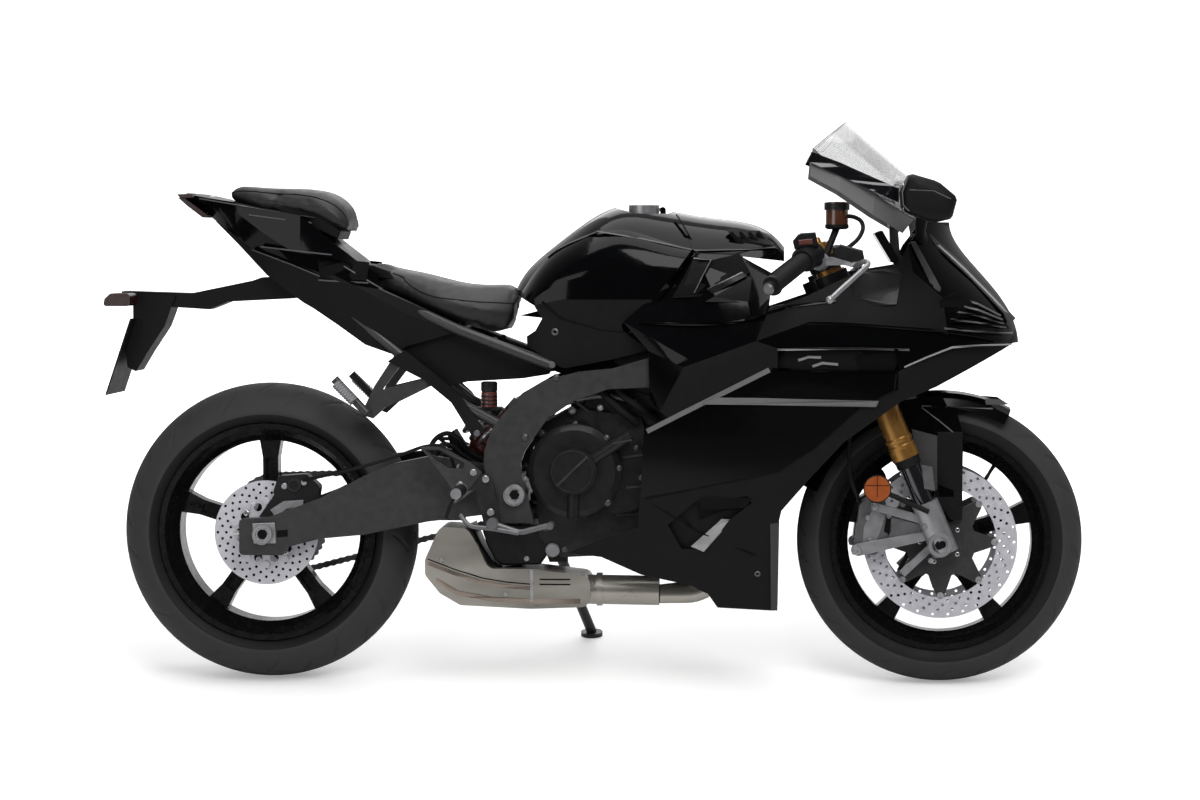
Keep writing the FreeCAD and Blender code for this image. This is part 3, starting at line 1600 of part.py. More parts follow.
def tail_covers():
    """Matt lower tail and the side covers below the seat."""
    body = tail_body().common(slab(tail_matt_shares, -tail_half * 2, tail_half * 2))
    body = body.translated(Vec(0, 0, -seat_gap))
    flaps = [
        slab(side_cover_shares, side * side_cover_inner_y, side * side_cover_outer_y, fairing_wall)
        for side in (-1, 1)
    ]
    body = fused([body] + flaps)
    cushion = seat(rider_seat_shares)
    body = body.cut(cushion).cut(cushion.translated(Vec(0, 0, -seat_gap)))
    return [cleared(body, panel_gap)] + rail_covers()


def rail_covers():
    """Grey strips along the outside of the lower seat rails."""
    wires = []
    for low_u, low_v, high_u, high_v, y_share in rail_cover_shares:
        low = at(low_u, low_v, y_share * tail_half)
        high = at(high_u, high_v, y_share * tail_half)
        wall = Vec(0, -rail_cover_wall, 0)
        wires.append(polygon([low, high, high + wall, low + wall]))
    strip = loft(wires, True)
    return [cleared(shape, panel_gap) for shape in pair(strip)]


indicator_share = (-0.216, 0.684)
indicator_inner_y = 52.0
indicator_outer_y = 130.0
indicator_shares = ((-0.236, 0.671), (-0.234, 0.684), (-0.225, 0.694), (-0.196, 0.694), (-0.196, 0.671))
plate_arm_shares = (
    (-0.010, 0.722), (-0.024, 0.716), (-0.117, 0.693), (-0.222, 0.697), (-0.222, 0.674),
    (-0.090, 0.664), (-0.061, 0.678), (0.040, 0.684), (0.040, 0.722),
)
plate_arm_half = 34.0
plate_back_half = 41.0
plate_corner = 3.2
stalk_radius = 8.0
plate_back_shares = (
    (-0.204, 0.690), (-0.140, 0.690), (-0.150, 0.655), (-0.157, 0.633), (-0.182, 0.588),
    (-0.200, 0.552), (-0.213, 0.560), (-0.216, 0.592), (-0.204, 0.631),
)
plate_top_share = (-0.200, 0.648)
plate_low_share = (-0.238, 0.512)
plate_width = 190.0
plate_thickness = 3.0


def plate_holder():
    """Arm, lamp bracket and a blank number plate."""
    arm = slab(plate_arm_shares, -plate_arm_half, plate_arm_half, plate_corner)
    back = slab(plate_back_shares, -plate_back_half, plate_back_half, plate_corner)
    top = at(plate_top_share[0], plate_top_share[1])
    low = at(plate_low_share[0], plate_low_share[1])
    plate = bar(top, low, plate_width, plate_thickness, Vec(0, 1, 0))
    stalk_low = at(indicator_share[0], indicator_share[1], -indicator_inner_y)
    stalk_high = at(indicator_share[0], indicator_share[1], indicator_inner_y)
    stalk = rod(stalk_low, stalk_high, stalk_radius)
    tail = tail_body()
    holder = fused([arm, back, plate, stalk])
    return [holder.cut(tail).cut(tail.translated(Vec(0, 0, -seat_gap)))]


def rear_lamps():
    """Tail lamp in the tip and two indicators."""
    lamp = slab(tail_lamp_shares, -tail_lamp_half, tail_lamp_half)
    found = [lamp]
    for side in (-1, 1):
        found.append(
            slab(
                indicator_shares, side * (indicator_inner_y + seat_gap), side * indicator_outer_y,
                arm_corner,
            )
        )
    return found


# Fairing
fairing_plan_shares = (
    (0.110, (1.000, 0.00), (0.960, 0.34), (0.860, 0.54), (0.740, 0.60), (0.580, 0.56), (0.400, 0.46)),
    (0.240, (1.030, 0.00), (0.995, 0.38), (0.890, 0.70), (0.760, 0.80), (0.580, 0.78), (0.400, 0.70)),
    (0.380, (1.065, 0.00), (1.035, 0.40), (0.930, 0.80), (0.780, 0.93), (0.600, 0.92), (0.400, 0.86)),
    (0.500, (1.095, 0.00), (1.065, 0.40), (0.960, 0.84), (0.800, 0.98), (0.610, 0.97), (0.400, 0.90)),
    (0.604, (1.116, 0.00), (1.085, 0.36), (0.975, 0.82), (0.820, 1.00), (0.620, 0.95), (0.400, 0.86)),
    (0.700, (1.081, 0.00), (1.050, 0.34), (0.955, 0.76), (0.820, 0.90), (0.620, 0.82), (0.400, 0.76)),
    (0.820, (1.013, 0.00), (0.985, 0.32), (0.930, 0.62), (0.840, 0.74), (0.620, 0.72), (0.400, 0.70)),
)
side_fairing_shares = (
    (0.566, 0.458), (0.690, 0.531), (0.745, 0.563), (0.933, 0.560), (0.933, 0.528), (0.882, 0.501),
    (0.812, 0.426), (0.761, 0.386), (0.722, 0.375), (0.560, 0.338),
)
lower_fairing_shares = (
    (0.560, 0.338), (0.722, 0.375), (0.761, 0.386), (0.812, 0.426), (0.882, 0.501), (0.933, 0.528),
    (0.933, 0.560),
    (1.015, 0.605), (1.107, 0.606), (0.988, 0.532), (0.938, 0.508), (0.905, 0.480), (0.855, 0.437),
    (0.808, 0.376),
    (0.765, 0.316), (0.762, 0.300), (0.760, 0.145), (0.754, 0.136), (0.672, 0.141), (0.658, 0.166),
    (0.630, 0.182), (0.560, 0.200),
    (0.502, 0.231), (0.452, 0.238), (0.500, 0.262), (0.556, 0.285),
)
lower_window_shares = (
    (0.640, 0.332), (0.716, 0.342), (0.722, 0.330), (0.690, 0.300), (0.656, 0.247), (0.620, 0.247),
    (0.600, 0.290),
)
window_rim_shares = (
    (0.633, 0.337), (0.717, 0.348), (0.729, 0.330), (0.696, 0.296), (0.660, 0.240), (0.616, 0.240),
    (0.592, 0.291),
)
window_depth = 15.0
upper_cowl_shares = (
    (0.728, 0.613), (0.806, 0.647), (0.861, 0.645), (0.981, 0.634), (1.006, 0.622), (1.015, 0.605),
    (0.933, 0.560),
    (0.933, 0.588), (0.925, 0.600), (0.759, 0.600),
)
inner_fairing_shares = (
    (0.589, 0.490), (0.600, 0.4782), (0.690, 0.531), (0.745, 0.563), (0.759, 0.5628), (0.759, 0.600),
    (0.728, 0.613), (0.623, 0.567),
)
duct_panel_shares = ((0.742, 0.550), (0.943, 0.547), (0.943, 0.612), (0.742, 0.612))
duct_hollow_shares = ((0.748, 0.556), (0.937, 0.553), (0.937, 0.606), (0.748, 0.606))
duct_depth = 22.0
nose_shares = (
    (1.015, 0.605), (1.107, 0.606), (1.130, 0.606), (1.130, 0.640), (1.100, 0.720), (1.020, 0.840),
    (0.985, 0.840),
    (0.948, 0.780), (0.955, 0.733), (0.998, 0.688), (1.006, 0.622),
)
cockpit_shares = (
    (0.746, 0.668), (0.728, 0.613), (0.806, 0.647), (0.861, 0.645), (0.981, 0.634), (1.006, 0.622),
    (0.998, 0.688),
    (0.955, 0.733), (0.948, 0.780), (0.935, 0.745), (0.872, 0.732), (0.800, 0.690),
)
side_panel_shares = (
    (0.573, 0.507, 0.800, 0.5890, 0.4900, 0.958), (0.572, 0.594, 0.800, 0.6230, 0.5670, 0.972),
    (0.534, 0.645, 0.750, 0.6400, 0.5745, 0.977), (0.605, 0.719, 0.590, 0.6750, 0.5898, 0.986),
    (0.640, 0.765, 0.580, 0.7000, 0.6007, 0.990), (0.700, 0.762, 0.580, 0.7280, 0.6130, 0.993),
    (0.752, 0.728, 0.600, 0.7460, 0.6680, 0.939),
)
nose_slot_count = 3
slot_height = 4.0
slot_pitch = 11.0
slot_share = (1.010, 0.640)
slot_length = 96.0


def fairing_form(inset):
    """Left half of the fairing's form, set in by a wall or a depth."""
    wires = []
    for v, tip, *sides in fairing_plan_shares:
        z = v * overall_height
        nose = Vec(rear_axle_x + tip[0] * wheelbase - inset, 0, z)
        points = []
        for u, share_y in sides:
            x = rear_axle_x + u * wheelbase - inset * (1 - share_y)
            points.append(Vec(x, max(share_y * fairing_half - inset, 0), z))
        back = Vec(points[-1].x, 0, z)
        wires.append(
            Part.Wire([trace([nose] + points), Part.makeLine(points[-1], back), Part.makeLine(back, nose)])
        )
    return loft(wires)


def shell_panel(shares, outset=0):
    """Left panel of the fairing's wall, cut out along a side outline."""
    prism = slab(shares, 0, fairing_half * 2)
    return fairing_form(outset).common(prism).cut(fairing_form(outset + fairing_wall))


def side_fairings():
    """Large gloss side panels."""
    return pair(shell_panel(side_fairing_shares))


def lower_fairings():
    """Matt belly panels that run up the front edge to the nose."""
    panel = shell_panel(lower_fairing_shares)
    pocket = fairing_form(fairing_wall).common(slab(window_rim_shares, 0, fairing_half * 2))
    pocket = pocket.cut(fairing_form(window_depth + fairing_wall))
    hollow = fairing_form(0).cut(fairing_form(window_depth))
    hollow = hollow.common(slab(lower_window_shares, 0, fairing_half * 2))
    return pair(fused([panel, pocket]).cut(hollow))


def upper_cowls():
    """Gloss wings over the side ducts."""
    return pair(shell_panel(upper_cowl_shares))


def inner_fairings():
    """Matt panels between the frame and the side fairing, and the duct walls."""
    inset = fairing_wall + seat_gap
    tray = fairing_form(inset).common(slab(duct_panel_shares, 0, fairing_half * 2))
    tray = tray.cut(fairing_form(duct_depth + fairing_wall))
    hollow = fairing_form(0).cut(fairing_form(duct_depth))
    tray = tray.cut(hollow.common(slab(duct_hollow_shares, 0, fairing_half * 2)))
    return pair(shell_panel(inner_fairing_shares)) + pair(tray)


def nose_cowl():
    """Gloss nose with its headlamp mouth."""
    half = shell_panel(nose_shares)
    for index in range(nose_slot_count):
        corner = at(slot_share[0], slot_share[1])
        low = corner + Vec(0, 0, slot_pitch * index)
        half = half.cut(box(low, low + Vec(slot_length, fairing_half, slot_height)))
    nose = half.fuse(mirrored(half)).removeSplitter()
    return [nose]


def cockpit():
    """Matt inner panels beside the bars."""
    return pair(shell_panel(cockpit_shares))


def side_panels():
    """Gloss panels from the tank's flanks down to the fairing's edge."""
    wires = []
    for high_u, high_v, high_y, low_u, low_v, low_y in side_panel_shares:
        high = at(high_u, high_v, high_y * fairing_half)
        low = at(low_u, low_v, low_y * fairing_half)
        wall = Vec(0, -fairing_wall, 0)
        wires.append(polygon([high, low, low + wall, high + wall]))
    panel = loft(wires, True)
    for held in [fuel_tank()[0]] + knee_covers() + [main_frame()[0]]:
        panel = panel.cut(held)
    return pair(panel)


stay_half = 16.0
stay_shares = (
    (0.830, 0.668), (0.850, 0.672), (1.000, 0.648), (1.000, 0.628), (0.850, 0.612), (0.835, 0.618),
)
stay_mast_shares = (
    (0.955, 0.652), (0.985, 0.652), (0.985, 0.700), (0.940, 0.765), (0.936, 0.820), (0.924, 0.820),
    (0.926, 0.765),
)
stay_screen_share = (0.930, 0.818)
stay_screen_y = 129.5
stay_cross_shares = ((0.972, 0.660), (0.946, 0.738))
stay_radius = 8.0


def fairing_stay():
    """Steel stay from the headstock to the nose, with rods out to the panels."""
    body = slab(stay_shares, -stay_half, stay_half)
    mast = slab(stay_mast_shares, -stay_half, stay_half)
    neck = rod(
        fork(headstock_low, -fork_offset), fork(headstock_high, -fork_offset),
        headstock_radius + seat_gap,
    )
    inside = fairing_form(fairing_wall + seat_gap)
    inside = inside.fuse(mirrored(inside))
    rods = []
    for u, v in stay_cross_shares:
        rods.append(cross_rod(at(u, v), -fairing_half, fairing_half, stay_radius).common(inside))
    rods.append(
        cross_rod(
            at(stay_screen_share[0], stay_screen_share[1]), -stay_screen_y, stay_screen_y, stay_radius,
        )
    )
    stay = fused([body, mast] + rods)
    for held in [neck, headlamp()[0]] + dash() + screen_surround():
        stay = stay.cut(held)
    return [stay]


lamp_share = (1.060, 0.625)
lamp_radius = 26.0
lamp_length = 90.0


def headlamp():
    """Projector lamp in the middle of the nose."""
    front = at(lamp_share[0], lamp_share[1])
    back = front - Vec(lamp_length, 0, 0)
    lens = Part.makeSphere(lamp_radius, front)
    body = rod(back, front, lamp_radius + screen_wall)
    return [fused([body, lens])]


screen_rows_shares = (
    (0.809, 0.947, 0.66, 0.859, 0.998),
    (0.850, 0.910, 0.70, 0.905, 0.950),
    (0.900, 0.868, 0.66, 0.952, 0.901),
    (0.958, 0.824, 0.52, 1.000, 0.838),
)
surround_low_shares = (
    (0.805, 0.900, 0.72), (0.848, 0.872, 0.75), (0.896, 0.832, 0.72), (0.940, 0.800, 0.60),
)


def screen_arch(rows, drop):
    """Solid under the screen's surface, lowered and narrowed by a drop."""
    wires = []
    for right, middle, left in rows:
        low = Vec(-drop, 0, -drop)
        inset = Vec(0, drop, 0)
        arc = Part.Arc(right + low + inset, middle + low, left + low - inset).toShape()
        foot = Vec(0, 0, -drop * screen_foot_share)
        edges = [
            arc, Part.makeLine(left + low - inset, left + low - inset + foot) if drop else None,
            Part.makeLine(left + low - inset + foot, right + low + inset + foot),
            Part.makeLine(right + low + inset + foot, right + low + inset) if drop else None,
        ]
        wires.append(Part.Wire([edge for edge in edges if edge]))
    return loft(wires)


def screen_rows():
    """Right, middle and left point of each arc across the screen."""
    rows = []
    for edge_u, edge_v, edge_y, mid_u, mid_v in screen_rows_shares:
        y = edge_y * fairing_half
        rows.append([at(edge_u, edge_v, -y), at(mid_u, mid_v), at(edge_u, edge_v, y)])
    return rows


screen_run_share = 0.3
screen_foot_share = 4.0


def windscreen():
    """Curved clear screen."""
    rows = screen_rows()
    before = [point + (point - later) * screen_run_share for point, later in zip(rows[0], rows[1])]
    after = [point + (point - earlier) * screen_run_share for point, earlier in zip(rows[-1], rows[-2])]
    return [screen_arch(rows, 0).cut(screen_arch([before] + rows + [after], screen_wall))]


def screen_surround():
    """Grey wings under the screen's side edges."""
    found = []
    arch = screen_arch(screen_rows(), 0)
    low_arch = arch.translated(Vec(0, 0, -seat_gap))
    for side in (-1, 1):
        wires = []
        for (edge_u, edge_v, edge_y, mid_u, mid_v), (low_u, low_v, low_y) in zip(
            screen_rows_shares, surround_low_shares,
        ):
            high = at(
                edge_u, edge_v, side * edge_y * fairing_half,
            ) + Vec(0, -side * fairing_wall, screen_wall)
            low = at(low_u, low_v, side * low_y * fairing_half)
            wall = Vec(0, side * fairing_wall, 0)
            wires.append(polygon([high, low, low + wall, high + wall]))
        found.append(loft(wires, True).cut(arch).cut(low_arch))
    return found


dash_shares = ((0.900, 0.800), (0.912, 0.806), (0.938, 0.752), (0.926, 0.748))
dash_half = 75.0


def dash():
    """Instrument display facing the rider."""
    return [slab(dash_shares, -dash_half, dash_half, fairing_wall)]


mirror_shares = (
    (0.930, 0.873), (0.944, 0.899), (0.976, 0.896), (1.006, 0.869), (1.013, 0.857), (1.003, 0.826),
    (0.941, 0.830), (0.931, 0.844),
)
mirror_inner_y = 205.0
mirror_outer_y = 340.0
mirror_corner = 12.0
mirror_stay_share = (0.968, 0.790)
mirror_arm_radius = 12.0
mirror_foot_y = 90.0
mirror_tip_v_share = 0.846


def mirrors():
    """Mirror heads on stays from the nose."""
    found = []
    for side in (-1, 1):
        head = slab(mirror_shares, side * mirror_inner_y, side * mirror_outer_y, mirror_corner)
        foot = at(mirror_stay_share[0], mirror_stay_share[1], side * mirror_foot_y)
        tip = at(mirror_stay_share[0], mirror_tip_v_share, side * (mirror_inner_y + mirror_corner))
        form = fairing_form(0) if side > 0 else mirrored(fairing_form(0))
        found.append(fused([head, rod(foot, tip, mirror_arm_radius).cut(form)]))
    return found


# Controls and stand
heel_shares = (
    (0.234, 0.425), (0.267, 0.425), (0.305, 0.402), (0.322, 0.385), (0.345, 0.360), (0.356, 0.285),
    (0.332, 0.285),
    (0.318, 0.350), (0.300, 0.345), (0.289, 0.355), (0.276, 0.370), (0.264, 0.395),
)
heel_window_shares = (
    (0.247, 0.419), (0.266, 0.418), (0.296, 0.398), (0.294, 0.388), (0.279, 0.386), (0.270, 0.397),
)
heel_inner_y = 166.3
heel_outer_y = 178.0
peg_share = (0.300, 0.352)
peg_outer_y = 325.0
peg_radius = 11.0
pedal_path_shares = ((0.345, 0.292), (0.385, 0.276), (0.430, 0.290))
pedal_y = 196.0
pedal_radius = 6.0
pedal_tip_length = 34.0


def rearsets():
    """Footrest hangers with their heel guards."""
    found = []
    for side in (-1, 1):
        plate = slab(heel_shares, side * heel_inner_y, side * heel_outer_y, fairing_wall)
        plate = plate.cut(slab(heel_window_shares, 0, side * heel_outer_y * 2))
        found.append(plate)
    return found


def footpegs():
    """Rider's footrests."""
    found = []
    for side in (-1, 1):
        place = at(peg_share[0], peg_share[1])
        found.append(cross_rod(place, side * (heel_outer_y + seat_gap), side * peg_outer_y, peg_radius))
    return found


def pedals():
    """Brake pedal and gear pedal."""
    found = []
    for side in (-1, 1):
        path = [at(u, v, side * pedal_y) for u, v in pedal_path_shares]
        arm = bent(path, pedal_radius, overrun)
        tip = cross_rod(
            path[-1], side * (pedal_y - pedal_radius * 2), side * (pedal_y + pedal_tip_length),
            pedal_radius / tie_share,
        )
        hub = cross_rod(
            path[0], side * (heel_outer_y + seat_gap), side * (pedal_y + pedal_radius * 2),
            pedal_radius * 2,
        )
        found.append(fused([arm, tip, hub]))
    return found


passenger_arm_shares = (
    (0.196, 0.585), (0.210, 0.575), (0.178, 0.524), (0.240, 0.542), (0.246, 0.530), (0.182, 0.492),
    (0.164, 0.472), (0.146, 0.480), (0.166, 0.530),
)
passenger_peg_shares = ((0.108, 0.543), (0.156, 0.482))
passenger_arm_y = 112.0
passenger_arm_outer_y = 126.0
passenger_peg_y = 136.0
passenger_peg_radius = 9.0


def passenger_pegs():
    """Folded passenger footrests on their hangers."""
    found = []
    for side in (-1, 1):
        arm = slab(passenger_arm_shares, side * passenger_arm_y, side * passenger_arm_outer_y)
        high = at(passenger_peg_shares[0][0], passenger_peg_shares[0][1], side * passenger_peg_y)
        low = at(passenger_peg_shares[1][0], passenger_peg_shares[1][1], side * passenger_peg_y)
        pin = cross_rod(
            low, side * passenger_arm_y, side * passenger_peg_y, passenger_peg_radius * tie_share,
        )
        found.append(fused([arm, rod(low, high, passenger_peg_radius), pin]))
    return found


stand_foot_share = (0.470, 0.0)
stand_foot_y = 178.0
stand_leg_radius = 11.0
stand_foot_radius = 24.0
stand_foot_height = 9.0
parked_shift = -131.0


def lean_point(point):
    """Where a point of the upright bike comes to once it leans on its stand."""
    y = point.y * math.cos(lean) + point.z * math.sin(lean)
    z = point.z * math.cos(lean) - point.y * math.sin(lean)
    return Vec(point.x, y + parked_shift, z + lean_lift)


def lean_direction(direction):
    """Where a direction of the upright bike points once it leans."""
    y = direction.y * math.cos(lean) + direction.z * math.sin(lean)
    z = direction.z * math.cos(lean) - direction.y * math.sin(lean)
    return Vec(direction.x, y, z)


def unlean_point(point):
    """The upright bike's point for a place on the floor beside the parked one."""
    y = point.y - parked_shift
    z = point.z - lean_lift
    return Vec(point.x, y * math.cos(lean) - z * math.sin(lean), y * math.sin(lean) + z * math.cos(lean))


def side_stand():
    """Side stand: fork eyes on the lug, a leg, and a foot flat on the floor."""
    pivot = at(stand_pivot_share[0], stand_pivot_share[1], stand_pivot_y)
    top = Vec(pivot.x, stand_pivot_y + seat_gap + stand_eye / 2, pivot.z)
    foot_x = rear_axle_x + stand_foot_share[0] * wheelbase
    foot_low = unlean_point(Vec(foot_x, stand_foot_y, 0))
    foot_high = unlean_point(Vec(foot_x, stand_foot_y, stand_foot_height))
    eye = cross_rod(pivot, stand_pivot_y + seat_gap, stand_pivot_y + stand_eye, stand_lug)
    pin = cross_rod(pivot, stand_pivot_y - stand_lug, stand_pivot_y + stand_lug, stand_bolt_radius)
    leg = rod(top, foot_high, stand_leg_radius)
    pad = rod(foot_low, foot_high, stand_foot_radius)
    below = unlean_point(Vec(foot_x, stand_foot_y, -overrun))
    trim = rod(below, foot_low, stand_foot_radius * 2)
    return [fused([eye, pin, leg, pad]).cut(trim)]


makers = {
    "main_frame": main_frame, "subframe": subframe, "engine": engine, "engine_covers": engine_covers,
    "radiator": radiator, "exhaust": exhaust, "swingarm": swingarm, "rear_axle": rear_axle_set,
    "rear_shock": rear_shock, "chain": chain, "rear_caliper": rear_caliper, "fuel_tank": fuel_tank,
    "knee_covers": knee_covers, "fuel_cap": fuel_cap, "rider_seat": rider_seat,
    "passenger_seat": passenger_seat,
    "tail_cowl": tail_cowl, "tail_covers": tail_covers, "plate_holder": plate_holder,
    "rear_lamps": rear_lamps,
    "side_fairings": side_fairings, "lower_fairings": lower_fairings, "upper_cowls": upper_cowls,
    "inner_fairings": inner_fairings, "side_panels": side_panels, "nose_cowl": nose_cowl,
    "fairing_stay": fairing_stay, "cockpit": cockpit, "headlamp": headlamp,
    "windscreen": windscreen, "screen_surround": screen_surround, "dash": dash, "mirrors": mirrors,
    "rearsets": rearsets, "footpegs": footpegs, "pedals": pedals, "passenger_pegs": passenger_pegs,
    "fork_outers": fork_outers, "fork_inners": fork_inners, "fork_bottoms": fork_bottoms, "yokes": yokes,
    "handlebars": handlebars, "levers": levers, "brake_reservoir": brake_reservoir,
    "front_calipers": front_calipers, "front_fender": front_fender, "fork_reflectors": fork_reflectors,
    "front_rim": front_rim, "front_tyre": front_tyre, "front_discs": front_discs,
    "rear_rim": rear_rim, "rear_tyre": rear_tyre, "rear_disc": rear_disc, "side_stand": side_stand,
}


def parked(shape):
    """The piece leaned onto the stand, with the bike's middle at the origin."""
    whole = solids([shape] if not isinstance(shape, list) else shape)
    whole.rotate(Vec(0, 0, 0), Vec(1, 0, 0), -lean_deg)
    whole.translate(Vec(0, parked_shift, lean_lift))
    return whole


def main():
    os.makedirs("parts", exist_ok=True)
    for name, make in makers.items():
        parked(make()).exportStep("parts/" + name + ".step")


if __name__ == "__main__":
    main()
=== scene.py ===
"""Looks of the parked sport bike: materials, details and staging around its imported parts.

Lengths are in metres. Details are placed where the picture shows them, by x and y in its
pixels and a depth out from the bike's middle plane, or by the nodes that they lie on.
"""
import math

import bmesh
import bpy
from mathutils import Matrix, Vector, geometry
from mathutils.bvhtree import BVHTree


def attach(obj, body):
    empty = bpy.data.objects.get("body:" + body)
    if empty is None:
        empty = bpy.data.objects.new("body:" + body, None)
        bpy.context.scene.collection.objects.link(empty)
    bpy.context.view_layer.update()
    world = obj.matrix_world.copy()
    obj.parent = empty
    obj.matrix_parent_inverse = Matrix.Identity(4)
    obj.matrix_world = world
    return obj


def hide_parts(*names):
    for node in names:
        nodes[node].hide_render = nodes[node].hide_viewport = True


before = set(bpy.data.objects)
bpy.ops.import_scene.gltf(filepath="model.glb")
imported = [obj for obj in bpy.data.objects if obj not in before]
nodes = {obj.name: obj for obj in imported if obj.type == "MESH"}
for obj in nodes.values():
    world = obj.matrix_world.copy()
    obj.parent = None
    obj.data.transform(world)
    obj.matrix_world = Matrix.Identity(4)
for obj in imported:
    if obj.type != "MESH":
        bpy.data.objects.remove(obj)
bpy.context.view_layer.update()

# The upright bike's own frame, and the lean that parks it on its stand.
BASE = 1.420
TALL = 1.181
REAR_X = -0.686
LEAN = math.radians(10)
LEAN_SHIFT = -0.131
LEAN_ROLL = 0.095
PARK = Matrix.Translation((0, LEAN_SHIFT, LEAN_ROLL * (1 - math.cos(LEAN)))) @ Matrix.Rotation(-LEAN, 4, "X")
PARK_BACK = PARK.inverted()
RAKE = math.radians(22.6)
AHEAD = Vector((1, 0, 0))
ACROSS = Vector((0, 1, 0))
UP = Vector((0, 0, 1))
FORK_UP = Vector((-math.sin(RAKE), 0, math.cos(RAKE)))
FORK_Y = 0.102
REAR_AXLE = Vector((REAR_X, 0, 0.314))
FRONT_AXLE = Vector((0.734, 0, 0.2995))
SIDES = (-1, 1)

# The picture: where its camera stands and looks, the pixels of the line straight ahead of it, of the rear
# axle and of the floor, and the pixels that the wheelbase and the height take up.
EYE_AWAY = 6.636
EYE = Vector((0.369, -EYE_AWAY, 0.910))
EYE_AIM = Vector((0.0159, 0, 0.592))
EYE_PIXEL = (766, 250)
REAR_PIXEL = 268.6
FLOOR_PIXEL = 679.5
BASE_PIXELS = 670.2
TALL_PIXELS = 557.5


def at(u, v, y=0.0):
    """Point of the upright bike from its shares of the wheelbase and the height."""
    return Vector((REAR_X + u * BASE, y, v * TALL))


def fork(along, y=0.0):
    """Point on a fork leg: up the leg from the axle, and across."""
    point = FRONT_AXLE + FORK_UP * along
    return Vector((point.x, y, point.z))


# CAD nodes that details lie on
UPPER = [
    "side_fairings", "upper_cowls", "inner_fairings", "nose_cowl", "cockpit", "lower_fairings", "side_panels",
    "fuel_tank", "knee_covers",
]
FRONT = ["front_fender"]
MOTOR = ["engine", "engine_covers"]
SPAR = ["main_frame", "engine", "engine_covers", "rearsets"]


# Materials
def shader(name):
    """New node material with its principled shader."""
    material = bpy.data.materials.new(name)
    material.use_nodes = True
    tree = material.node_tree
    return material, tree, tree.nodes["Principled BSDF"]


def grain(tree, scale, detail, stretch=(1, 1, 1)):
    """Noise in object coordinates; the scale is in features a metre."""
    place = tree.nodes.new("ShaderNodeTexCoord")
    mapping = tree.nodes.new("ShaderNodeMapping")
    mapping.inputs["Scale"].default_value = stretch
    texture = tree.nodes.new("ShaderNodeTexNoise")
    texture.inputs["Scale"].default_value = scale
    texture.inputs["Detail"].default_value = detail
    tree.links.new(place.outputs["Object"], mapping.inputs["Vector"])
    tree.links.new(mapping.outputs["Vector"], texture.inputs["Vector"])
    return texture.outputs["Fac"]


def spread(tree, value, low, high, start=0.3, end=0.7):
    """A value stretched between a low and a high number."""
    node = tree.nodes.new("ShaderNodeMapRange")
    node.inputs["From Min"].default_value = start
    node.inputs["From Max"].default_value = end
    node.inputs["To Min"].default_value = low
    node.inputs["To Max"].default_value = high
    tree.links.new(value, node.inputs["Value"])
    return node.outputs["Result"]


def tinted(tree, value, dark, light):
    """A colour that runs from dark to light with a value."""
    ramp = tree.nodes.new("ShaderNodeValToRGB")
    ramp.color_ramp.elements[0].position = 0.3
    ramp.color_ramp.elements[0].color = (*dark, 1)
    ramp.color_ramp.elements[1].position = 0.7
    ramp.color_ramp.elements[1].color = (*light, 1)
    tree.links.new(value, ramp.inputs["Fac"])
    return ramp.outputs["Color"]


def bumped(tree, bsdf, height, strength, depth):
    """Fine relief on the shader's normal; the depth is in metres."""
    bump = tree.nodes.new("ShaderNodeBump")
    bump.inputs["Strength"].default_value = strength
    bump.inputs["Distance"].default_value = depth
    tree.links.new(height, bump.inputs["Height"])
    tree.links.new(bump.outputs["Normal"], bsdf.inputs["Normal"])


def finish(
    name, color, rough, metal=0.0, vary=0.12, scale=60, bump=0.15, bump_scale=900, depth=0.0003,
    coat=0.0, stretch=(1, 1, 1), swing=0.06, specular=0.5,
):
    """General finish: clouded colour and gloss with fine relief."""
    material, tree, bsdf = shader(name)
    bsdf.inputs["Metallic"].default_value = metal
    bsdf.inputs["Specular IOR Level"].default_value = specular
    bsdf.inputs["Coat Weight"].default_value = coat
    bsdf.inputs["Coat Roughness"].default_value = 0.05
    cloud = grain(tree, scale, 5.0, stretch)
    dark = [c * (1 - vary) for c in color]
    light = [min(c * (1 + vary), 1) for c in color]
    tree.links.new(tinted(tree, cloud, dark, light), bsdf.inputs["Base Color"])
    tree.links.new(spread(tree, cloud, rough - swing, rough + swing), bsdf.inputs["Roughness"])
    if bump:
        bumped(tree, bsdf, grain(tree, bump_scale, 3.0, stretch), bump, depth)
    return material


GLOSS = finish(
    "gloss_paint", (0.0013, 0.0014, 0.0017), 0.12, vary=0.1, coat=0.14, bump=0.03, bump_scale=500, depth=0.0001,
    swing=0.02, specular=0.08,
)
MATT = finish(
    "matt_panel", (0.0056, 0.0056, 0.0061), 0.52, vary=0.08, bump=0.25, bump_scale=1400, depth=0.0002, specular=0.1,
)
GREY = finish(
    "grey_panel", (0.03, 0.03, 0.032), 0.5, vary=0.06, bump=0.2, bump_scale=1400, depth=0.0002, specular=0.3,
)
FRAME = finish("frame_paint", (0.027, 0.027, 0.028), 0.38, vary=0.1, bump=0.2, bump_scale=500, coat=0.1, specular=0.3)
CAST = finish(
    "cast_metal", (0.022, 0.022, 0.023), 0.45, metal=0.4, vary=0.2, bump=0.5, bump_scale=700, depth=0.0004,
    specular=0.2,
)
COVER = finish("cover_paint", (0.007, 0.007, 0.0076), 0.38, bump=0.35, bump_scale=700, coat=0.08, specular=0.2)
MUFFLER = finish(
    "muffler_steel", (0.36, 0.34, 0.305), 0.32, metal=0.7, vary=0.2, scale=9, bump_scale=300, depth=0.0002,
    stretch=(0.5, 1, 1.6),
)
STEEL = finish("bright_steel", (0.46, 0.46, 0.47), 0.28, metal=0.8, vary=0.1, bump=0.1)
ALLOY = finish("silver_alloy", (0.27, 0.27, 0.28), 0.34, metal=0.6, vary=0.08)
